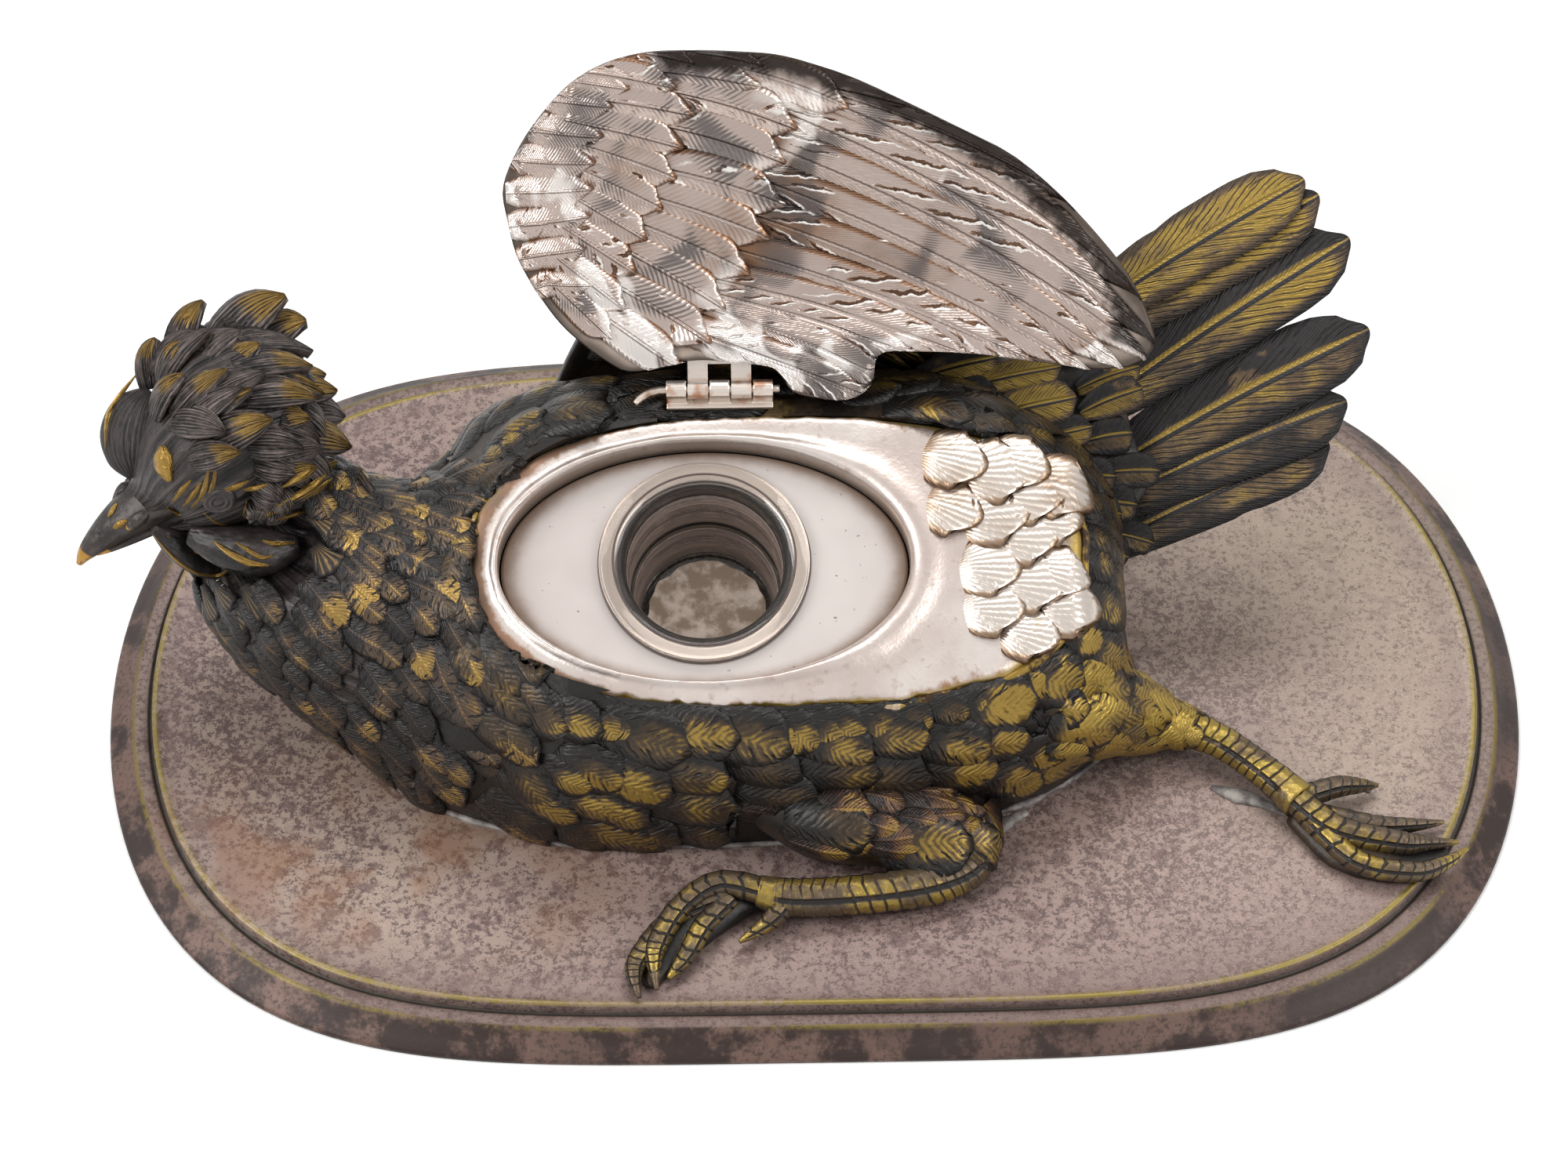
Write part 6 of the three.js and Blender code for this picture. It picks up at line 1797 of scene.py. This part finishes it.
# %% Face lines
FACE_LINES = [  # half width in mm, then points round the skull in its radii
    (2.0, (0.5, 0.2, 0.89), (0.55, 0.29, 0.83), (0.6, 0.4, 0.75), (0.64, 0.52, 0.64)),
    (0.6, (0.91, 0.42, 0.19), (0.83, 0.57, 0.15), (0.62, 0.76, 0.27)),
    (0.5, (0.78, 0.56, 0.35), (0.59, 0.64, 0.53), (0.42, 0.68, 0.63)),
    (0.5, (0.7, 0.67, 0.31), (0.5, 0.75, 0.48), (0.33, 0.76, 0.59)),
    (0.5, (0.63, 0.74, 0.29), (0.37, 0.81, 0.5), (0.15, 0.76, 0.66)),
    (0.45, (0.48, 0.82, 0.37), (0.25, 0.84, 0.51), (0.04, 0.78, 0.66)),
    (0.6, (0.2, 0.91, 0.42), (0.04, 0.94, 0.38), (-0.14, 0.95, 0.35)),
    (0.6, (-0.01, 0.98, 0.31), (-0.15, 1.0, 0.21), (-0.3, 0.98, 0.1)),
    (0.4, (0.55, 0.83, 0.21), (0.5, 0.89, -0.03), (0.32, 0.96, -0.12), (0.15, 1.01, -0.01),
     (0.04, 1.01, 0.15)),
    (0.9, (-0.4, 1.0, -0.07), (-0.6, 0.84, -0.33), (-0.77, 0.62, -0.63)),
    (0.9, (-0.22, 1.05, -0.26), (-0.46, 0.9, -0.5), (-0.7, 0.74, -0.72), (-0.86, 0.71, -0.71)),
    (0.6, (-0.09, 0.95, -0.6), (-0.4, 0.89, -0.81), (-0.69, 0.87, -0.83), (-0.89, 0.77, -0.76)),
    (0.9, (0.68, 0.74, -0.5), (0.59, 0.92, -0.65), (0.46, 1.1, -0.8), (0.3, 1.2, -0.9)),
    (0.45, (1.24, 0.5, 0.0), (1.22, 0.52, -0.6), (1.12, 0.55, -1.05), (0.92, 0.6, -1.26),
     (0.74, 0.64, -1.24)),
    (0.4, (1.12, 0.55, -0.1), (0.98, 0.62, -0.55), (0.82, 0.66, -0.9)),
    (0.6, (0.47, 0.84, -0.63), (0.4, 0.95, -0.74), (0.32, 1.08, -0.85), (0.19, 1.12, -0.9)),
    (0.8, (0.2, 0.94, -0.76), (0.09, 1.03, -0.85), (-0.08, 1.1, -0.93)),
    (0.8, (1.59, 0.02, 0.2), (1.41, -0.06, 0.24)),
    (0.7, (1.59, 0.15, 0.1), (1.4, 0.2, 0.14)),
    (0.7, (0.4, -0.95, 0.92), (0.66, -0.92, 0.9), (0.94, -0.78, 0.78), (1.14, -0.56, 0.56)),
    (0.5, (-0.4, -1.1, 0.98), (-0.58, -1.12, 1.02), (-0.69, -1.1, 0.98)),
    (0.6, (-0.98, -0.82, 0.68), (-1.21, -0.78, 0.6), (-1.43, -0.7, 0.5)),
]


def nearest_skin(point):
    grounds = (head_ground, jaw_ground, bill_ground, crest_ground)
    seen = [ground.ray_cast(point + TO_VIEWER * 22, -TO_VIEWER) for ground in grounds]
    seen = [hit for hit in seen if hit[0] is not None]
    if seen and (point - HEAD_AT).dot(HEAD_SIDE) > 5:
        return min(seen, key=lambda hit: hit[3])[0]
    found = [ground.find_nearest(point) for ground in grounds]
    return min(found, key=lambda hit: hit[3])[0]


def ridge_rows(half, points):
    places = [nearest_skin(on_head(*point)) for point in points]
    size = [half * (0.3 if k in (0, len(places) - 1) else 1.0) for k in range(len(places))]
    if len(places) == 2:
        places = [places[0], places[0].lerp(places[1], 0.5), places[1]]
        size = [half * 0.4, half, half * 0.4]
    return [(*place, width, width * 0.7) for place, width in zip(places, size)]


# %% Laying the face lines
trim = fresh()
for half, *points in FACE_LINES:
    toward = sum((on_head(*point) - HEAD_AT for point in points), Vector()).normalized()
    sweep_limb(trim, ridge_rows(half, points), sides=12, steps=18, up=toward)
finish_piece(trim, "face_lines", "root", "bird_bronze", trim_finish)

# %% [markdown]
# ## Ruff
# Under the nape small ribbed fans overlap like little shells, each edge rubbed bright.

# %% Ruff fans
fan_finish = silver_scale_finish("ruff_fan_bronze", lines=18.0, bright=(108, 86, 50),
                                 shade=(58, 48, 40), dark=(28, 25, 24), deep=1.6, rough=0.42,
                                 metal=0.4, ribs=0.9)
FANS = [((-0.14, 1.03, -0.89), (-0.35, 1.38, -1.18)), ((-0.8, 0.74, -0.66), (-0.86, 0.95, -0.92)),
        ((0.27, 1.18, -0.95), (0.31, 1.52, -1.19)), ((-0.33, 1.35, -1.15), (-0.29, 1.77, -1.46)),
        ((0.65, 1.05, -0.79), (0.54, 1.32, -1.0)), ((-0.04, 1.34, -1.1), (-0.03, 1.64, -1.33)),
        ((0.7, 1.2, -0.9), (0.6, 1.54, -1.15)), ((-0.5, 1.0, -0.9), (-0.62, 1.3, -1.2)),
        ((-0.7, 1.2, -1.15), (-0.75, 1.55, -1.5)), ((0.95, 0.9, -0.85), (0.9, 1.2, -1.15)),
        ((-0.95, 0.5, -0.7), (-1.15, 0.6, -1.05)), ((-1.05, 0.15, -0.65), (-1.3, 0.15, -1.0)),
        ((-1.05, -0.25, -0.6), (-1.3, -0.35, -0.95)), ((-0.9, -0.6, -0.6), (-1.1, -0.8, -0.95)),
        ((-0.5, -0.9, -0.7), (-0.6, -1.1, -1.05)), ((0.0, -1.0, -0.8), (0.0, -1.2, -1.1))]
ruff = fresh()
for root, tip in FANS:
    at, to = on_head(*root), on_head(*tip)
    lay(ruff, scale_blank, scale_on(bird_ground, at, to - at, (to - at).length * 0.9 + 1.2, 2.8,
                                    outline=[(0, 0.4), (0.5, 0.8), (0.9, 1.05), (1, 0.95)],
                                    lift=1.3, dome=0.5, tip_round=0.14))
finish_piece(ruff, "ruff", "root", "bird_bronze", fan_finish)

# %% [markdown]
# ## Legs and feet
# Each limb is a ring drawn along its bones. Scutes are a sawtooth in the ring's size, so every
# plate overlaps the next; the finish rubs their crowns gold and leaves the joints black. A limb's
# lot holds the number of its scutes as hundredths, with half added on a toe.

# %% Scute finish
scutes = Finish("scuted_leg_bronze")
across, way, _ = scutes.split(scutes.attribute("grain"))
count = scutes.attribute("lot", out="Fac") * 100.0
toe = scutes.step(count, 40.0, 45.0)
count = count - toe * 50.0
places = scutes.places()
fine = scutes.noise(places, 800.0, 3.0)
cloud = scutes.noise(places, 90.0, 3.0)
aside = abs(across)
saw = scutes.maths("FRACT", way * count + aside * 0.9 + (cloud - 0.5) * 1.3)
joint = 1.0 - scutes.step(saw, 0.02, 0.2) + scutes.step(saw, 0.93, 1.0)
joint = joint * scutes.step(cloud, 0.3, 0.6)
row = 1.0 - scutes.step(abs(aside - 0.27), 0.02, 0.07)
cut = scutes.clamp((joint + row) * (1.0 - scutes.step(way, 0.84, 0.9)))
under = scutes.step(aside, 0.5, 0.85)
worn = scutes.clamp(0.72 - toe * 0.18 - cut * 0.8 - under * 0.9 + (fine - 0.5) * 0.7
                    + (cloud - 0.5) * 2.4)
scute_tone = scutes.layered(tone(28, 24, 22), (scutes.step(worn, 0.05, 0.4), (88, 73, 56)),
                            (scutes.step(worn, 0.5, 0.95), (152, 129, 62)))
scute_bronze = scutes.surface(scute_tone, 0.44 - worn * 0.1, 0.3 + worn * 0.45,
                              worn * 0.5 + fine * 0.3 - cut, 0.0004, 0.8)

# %% Leg tables: places and half sizes as shares of the leg's length, from the hip
LEG = 50.0
NEAR_HIP = (14.0, -45.0)
FAR_HIP = (40.0, -25.0)
NEAR_LEG = {
    "thigh": [(-0.56, 0.16, 0.15, 0.13, 0.14), (-0.3, 0.09, 0.15, 0.15, 0.17),
              (-0.04, 0.06, 0.14, 0.15, 0.16), (0.16, 0.05, 0.12, 0.125, 0.125),
              (0.28, 0.03, 0.1, 0.095, 0.096)],
    "shank": [(0.28, 0.02, 0.1, 0.09, 0.088), (0.25, -0.09, 0.075, 0.08, 0.072),
              (0.1, -0.16, 0.066, 0.078, 0.07), (-0.16, -0.2, 0.066, 0.072, 0.066),
              (-0.38, -0.21, 0.072, 0.07, 0.064), (-0.5, -0.19, 0.086, 0.056, 0.056)],
    "middle_toe": [(-0.46, -0.2, 0.086, 0.052, 0.052), (-0.64, -0.17, 0.106, 0.046, 0.046),
                   (-0.78, -0.26, 0.086, 0.042, 0.042), (-0.86, -0.4, 0.066, 0.04, 0.04),
                   (-0.87, -0.48, 0.058, 0.026, 0.026), (-0.86, -0.57, 0.032, 0.008, 0.008)],
    "outer_toe": [(-0.6, -0.19, 0.066, 0.048, 0.048), (-0.8, -0.28, 0.052, 0.042, 0.042),
                  (-0.92, -0.44, 0.046, 0.04, 0.04), (-0.94, -0.52, 0.042, 0.028, 0.028),
                  (-0.92, -0.6, 0.03, 0.008, 0.008)],
    "inner_toe": [(-0.6, -0.21, 0.066, 0.044, 0.044), (-0.7, -0.32, 0.05, 0.04, 0.04),
                  (-0.76, -0.44, 0.042, 0.034, 0.034), (-0.82, -0.52, 0.03, 0.008, 0.008)],
    "hind_toe": [(-0.4, -0.22, 0.066, 0.044, 0.044), (-0.46, -0.3, 0.056, 0.036, 0.036),
                 (-0.57, -0.37, 0.03, 0.008, 0.008)],
}
FAR_LEG = {
    "thigh": [(-0.36, 0.02, 0.42, 0.26, 0.28), (-0.1, 0.06, 0.36, 0.25, 0.27),
              (0.12, 0.1, 0.28, 0.21, 0.22), (0.28, 0.12, 0.2, 0.16, 0.16),
              (0.4, 0.12, 0.14, 0.115, 0.115), (0.48, 0.13, 0.12, 0.085, 0.085)],
    "shank": [(0.44, 0.12, 0.126, 0.08, 0.08), (0.64, 0.06, 0.102, 0.064, 0.064),
              (0.8, -0.06, 0.082, 0.06, 0.06), (0.94, -0.22, 0.076, 0.07, 0.07)],
    "middle_toe": [(0.92, -0.2, 0.076, 0.058, 0.058), (1.06, -0.34, 0.066, 0.052, 0.052),
                   (1.28, -0.4, 0.058, 0.046, 0.046), (1.38, -0.4, 0.052, 0.028, 0.028),
                   (1.5, -0.38, 0.03, 0.008, 0.008)],
    "outer_toe": [(0.96, -0.26, 0.058, 0.048, 0.048), (1.12, -0.47, 0.05, 0.042, 0.042),
                  (1.32, -0.52, 0.046, 0.038, 0.038), (1.44, -0.48, 0.042, 0.026, 0.026),
                  (1.53, -0.41, 0.03, 0.008, 0.008)],
    "hind_toe": [(0.96, -0.2, 0.076, 0.044, 0.044), (1.08, -0.16, 0.078, 0.04, 0.04),
                 (1.17, -0.14, 0.058, 0.028, 0.028), (1.24, -0.12, 0.03, 0.008, 0.008)],
    "inner_toe": [(1, -0.26, 0.052, 0.04, 0.04), (1.2, -0.31, 0.046, 0.038, 0.038),
                  (1.34, -0.31, 0.042, 0.026, 0.026), (1.46, -0.29, 0.03, 0.008, 0.008)],
}


# %% Legs
def limb_rows(table, hip):
    return [(hip[0] + x * LEG, hip[1] + y * LEG, FOOT_Z + z * LEG, w * LEG, h * LEG)
            for x, y, z, w, h in table]


def dress_leg(name, node, tables, hip, scute_counts):
    bm = fresh()
    for limb, count in scute_counts.items():
        def swell(share, count=count):
            saw = (share * count + 0.35 * noise.noise(Vector((share * 9, count, 0)))) % 1.0
            fade = 1 - smooth_step(0.8, 0.88, share)
            return 1 + (0.075 * (saw - 0.4)) * fade + 0.02 * (1 - fade)
        sweep_limb(bm, limb_rows(tables[limb], hip), sides=20, steps=count * 5, swell=swell,
                   lot=(count + (50 if "toe" in limb else 0)) / 100)
    piece = finish_piece(bm, name, "root", "bird_bronze", scute_bronze)
    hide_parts(node)
    thigh = fresh()
    sweep_limb(thigh, limb_rows(tables["thigh"], hip), sides=40, steps=24,
               swell=lambda share: 0.45 + 0.55 * smooth_step(0.0, 0.3, share))
    finish_piece(thigh, name + "_thigh", "root", "bird_bronze", skin_bronze)


dress_leg("near_foot", "near_leg", NEAR_LEG, NEAR_HIP,
          {"shank": 26, "middle_toe": 16, "outer_toe": 14, "inner_toe": 8, "hind_toe": 5})
dress_leg("far_foot", "far_leg", FAR_LEG, FAR_HIP,
          {"shank": 16, "middle_toe": 18, "outer_toe": 16, "hind_toe": 8, "inner_toe": 10})

# %% [markdown]
# ## Web left by the mould
# Between the toes the founder left the metal in, a dark rough skin the chaser never cleared.

# %% Casting web
WEBS = [
    (NEAR_HIP, [(-0.48, -0.2, 0.02, 0.02, 0.02), (-0.6, -0.22, 0.03, 0.07, 0.05),
                (-0.76, -0.32, 0.02, 0.09, 0.045), (-0.86, -0.46, 0.01, 0.06, 0.03),
                (-0.88, -0.54, 0.0, 0.02, 0.02)]),
    (FAR_HIP, [(0.92, -0.24, 0.02, 0.04, 0.03), (1.08, -0.38, 0.02, 0.1, 0.045),
               (1.24, -0.42, 0.01, 0.12, 0.04), (1.38, -0.42, 0.0, 0.09, 0.03),
               (1.46, -0.4, 0.0, 0.02, 0.02)]),
]
web = fresh()
for hip, rows in WEBS:
    sweep_limb(web, limb_rows(rows, hip), sides=20, steps=20,
               swell=lambda share: 1 + 0.1 * noise.noise(Vector((share * 11, 1, 0))))
finish_piece(web, "casting_web", "root", "bird_bronze", skin_bronze)

# %% Thigh feathers
NEAR_THIGH_SIZES = [(0.0, 7.0, 2.6, 1.0), (0.4, 9.5, 3.2, 1.2), (1.0, 10.5, 3.6, 1.3)]
FAR_THIGH_SIZES = [(0.0, 6.0, 3.2, 0.9), (0.3, 9.0, 4.2, 1.2), (0.6, 11.5, 5.0, 1.5),
                   (1.0, 12.5, 5.4, 1.6)]


def on_thigh(table, hip, reach):
    """True for a point near the bones of this thigh, over the plate and clear of the collar"""
    spots = [Vector(curve_at(limb_rows(table, hip), k / 12)[:3]) for k in range(13)]
    return lambda point: (point.z > FOOT_Z + 0.4 and not over_collar(point)
                          and min((point - spot).length for spot in spots) < reach)


near_thigh = fresh()
plume(near_thigh, list(reversed(limb_rows(NEAR_LEG["thigh"], NEAR_HIP))), NEAR_THIGH_SIZES,
      math.radians(-100), math.radians(100), lambda point, along: along, small_blank,
      on_thigh(NEAR_LEG["thigh"], NEAR_HIP, 11), ratio=0.45, last=0.98)
for y, z, length in ((-36, 20, 13), (-37, 14, 15), (-38, 9.5, 13)):
    lay(near_thigh, small_blank, scale_on(bird_ground, (-19, y, z), Vector((1, -0.2, 0)), length,
                                          4.4, lift=1.6))
finish_piece(near_thigh, "near_thigh_feathers", "root", "bird_bronze", red_feather)
far_thigh = fresh()
plume(far_thigh, list(reversed(limb_rows(FAR_LEG["thigh"], FAR_HIP))), FAR_THIGH_SIZES,
      math.radians(-110), math.radians(110), lambda point, along: along, wide_blank,
      on_thigh(FAR_LEG["thigh"], FAR_HIP, 17), ratio=0.5, last=0.9)
finish_piece(far_thigh, "far_thigh_feathers", "root", "bird_bronze", thigh_feather)

# %% [markdown]
# ## Long feathers of the back
# Behind the hinge, where the far wing leaves the body, a few broad lance-shaped feathers run back
# to the tail. They are the best lit and the most rubbed of all.

# %% Back feathers
BACK_FEATHERS = [  # root x, y, z, then length, half width, turn across in degrees
    (46, 2, 52, 17, 5.2, -20), (44, 14, 52, 19, 5.6, 4), (41, 24, 48, 18, 5.2, 12),
    (32, 8, 55, 19, 5.6, -12), (30, 20, 54, 20, 5.8, 6), (20, 16, 58, 20, 5.4, -4),
    (17, 26, 54, 19, 5.2, 8), (38, -6, 51, 15, 4.6, -26), (5, 27, 56, 17, 4.8, 0),
    (-12, 28, 56, 16, 4.6, -6), (-28, 27, 55, 15, 4.6, -12), (-42, 24, 53, 14, 4.4, -16),
]
back_feathers = fresh()
for x, y, z, length, half, turned in reversed(BACK_FEATHERS):
    flow = Matrix.Rotation(math.radians(turned), 3, "Z") @ Vector((1, -0.05, -0.25))
    if over_collar(Vector((x, y, z)), 1.5) or over_collar(Vector((x, y, z)) + flow * 6, 1.5):
        continue
    lay(back_feathers, long_blank, scale_on(bird_ground, (x, y, z), flow, length, half,
                                            outline=COVERT, lift=1.8, dome=1.0, tip_round=0.45))
finish_piece(back_feathers, "back_feathers", "root", "bird_bronze", bronze_feather)

# %% [markdown]
# ## Solder line
# The bird was sweated to the plate, and the pale solder still shows round its foot as an uneven
# bead with a few lumps. Rays cast inwards at foot height find where the skin meets the plate.

# %% Solder
PLATE_TOP = 5.4
body_ground = BVHTree.FromBMesh(solid_copy("bird_body", "head_and_neck"))
solder = fresh()
runs = [[]]
for step in range(181):
    angle = 2 * math.pi * step / 180
    outward = Vector((math.cos(angle), math.sin(angle), 0))
    middle = Vector((-14 + 48 * math.cos(angle), 0, PLATE_TOP + 1.2))
    hit, _, _, _ = body_ground.ray_cast(middle + outward * 150, -outward)
    beside = hit is not None and (hit - middle).length < 75
    last = runs[-1][-1] if runs[-1] else None
    if last and (not beside or math.hypot(hit.x - last[0], hit.y - last[1]) > 5):
        runs.append([])
    if beside:
        size = 0.7 + 0.5 * noise.noise(Vector((hit.x * 0.2, hit.y * 0.2, 1)))
        runs[-1].append((hit.x, hit.y, PLATE_TOP + 0.1, size, size * 0.7))
for rows in runs:
    if len(rows) > 2:
        sweep_limb(solder, rows, sides=8, steps=len(rows) * 3)
LUMPS = [
    [(72, -29.5, 5.4, 0.6, 0.4), (76, -31.5, 5.5, 1.6, 0.9), (80, -33, 5.5, 1.3, 0.7),
     (86, -36.5, 5.4, 0.5, 0.3)],
    [(88, -37, 5.4, 0.5, 0.4), (94, -42, 5.5, 1.2, 0.7), (99, -45, 5.4, 0.5, 0.3)],
    [(92, -30, 5.4, 0.5, 0.4), (97, -29, 5.5, 1.5, 0.7), (101, -31, 5.4, 0.5, 0.3)],
    [(30, -42, 5.4, 0.6, 0.4), (33, -38, 5.6, 1.5, 1.0), (38, -34.5, 5.4, 0.7, 0.4)],
]
for rows in LUMPS:
    sweep_limb(solder, rows, sides=10, steps=24,
               swell=lambda share: 1 + 0.25 * noise.noise(Vector((share * 9, 0, 2))))
solder_look = Finish("pale_solder")
places = solder_look.places()
blot = solder_look.noise(places, 150.0, 4.0, 0.65)
solder_tone = solder_look.layered(tone(92, 86, 84),
                                  (solder_look.step(blot, 0.4, 0.6), (156, 150, 144)))
solder_look.surface(solder_tone, 0.5 + blot * 0.2, 0.35, blot, 0.0004, 0.9)
finish_piece(solder, "solder_bead", "root", "base_bronze", solder_look.material)

# %% [markdown]
# ## Stage and light
# A plain pale floor and large soft lamps keep the colours as they are written. The world is white
# for the camera and for reflections, and gentler for the light it gives.

# %% Floor
floor_look = Finish("pale_floor")
floor_mesh = bmesh.new()
bmesh.ops.create_grid(floor_mesh, x_segments=1, y_segments=1, size=3.0)
bmesh.ops.translate(floor_mesh, vec=(0, 0, -0.0002), verts=floor_mesh.verts[:])
floor_data = bpy.data.meshes.new("floor")
floor_mesh.to_mesh(floor_data)
floor_mesh.free()
floor = bpy.data.objects.new("floor", floor_data)
floor_data.materials.append(floor_look.surface(tone(244, 244, 243), 0.9, 0.0,
                                               Specular_IOR_Level=0.1))
bpy.context.scene.collection.objects.link(floor)
floor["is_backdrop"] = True


# %% Lamps
def softbox(name, place, aim, width, height, power):
    data = bpy.data.lights.new(name, "AREA")
    data.shape = "RECTANGLE"
    data.size = width
    data.size_y = height
    data.energy = power
    lamp = bpy.data.objects.new(name, data)
    bpy.context.scene.collection.objects.link(lamp)
    place, aim = Vector(place), Vector(aim)
    lamp.matrix_world = (Matrix.Translation(place)
                         @ (place - aim).to_track_quat("Z", "Y").to_matrix().to_4x4())


MIDDLE = (0.0, 0.0, 0.03)
softbox("left_softbox", (-0.75, -0.2, 0.75), MIDDLE, 0.7, 0.5, 8.0)
softbox("right_softbox", (0.7, -0.25, 0.8), MIDDLE, 0.6, 0.5, 5.0)
softbox("top_softbox", (0.0, 0.55, 0.95), MIDDLE, 0.9, 0.4, 5.0)
print("lamps:", len(bpy.data.lights))

# %% World
world = bpy.data.worlds.new("studio")
bpy.context.scene.world = world
world.use_nodes = True
background = world.node_tree.nodes["Background"]
paths = world.node_tree.nodes.new("ShaderNodeLightPath")
seen = world.node_tree.nodes.new("ShaderNodeMath")
seen.operation = "MAXIMUM"
world.node_tree.links.new(paths.outputs["Is Camera Ray"], seen.inputs[0])
world.node_tree.links.new(paths.outputs["Is Transmission Ray"], seen.inputs[1])
mirrored = world.node_tree.nodes.new("ShaderNodeMapRange")
mirrored.inputs["To Min"].default_value = 0.46
mirrored.inputs["To Max"].default_value = 0.78
world.node_tree.links.new(paths.outputs["Is Glossy Ray"], mirrored.inputs["Value"])
level = world.node_tree.nodes.new("ShaderNodeMath")
level.operation = "MAXIMUM"
world.node_tree.links.new(seen.outputs[0], level.inputs[0])
world.node_tree.links.new(mirrored.outputs[0], level.inputs[1])
world.node_tree.links.new(level.outputs[0], background.inputs["Strength"])
background.inputs["Color"].default_value = (1, 1, 1, 1)
bpy.context.scene.view_settings.view_transform = "Standard"

visual_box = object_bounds()


def plain(box):
    return [[float(value) for value in corner] for corner in box]


{"cad": plain(cad_box), "visual": plain(visual_box)}
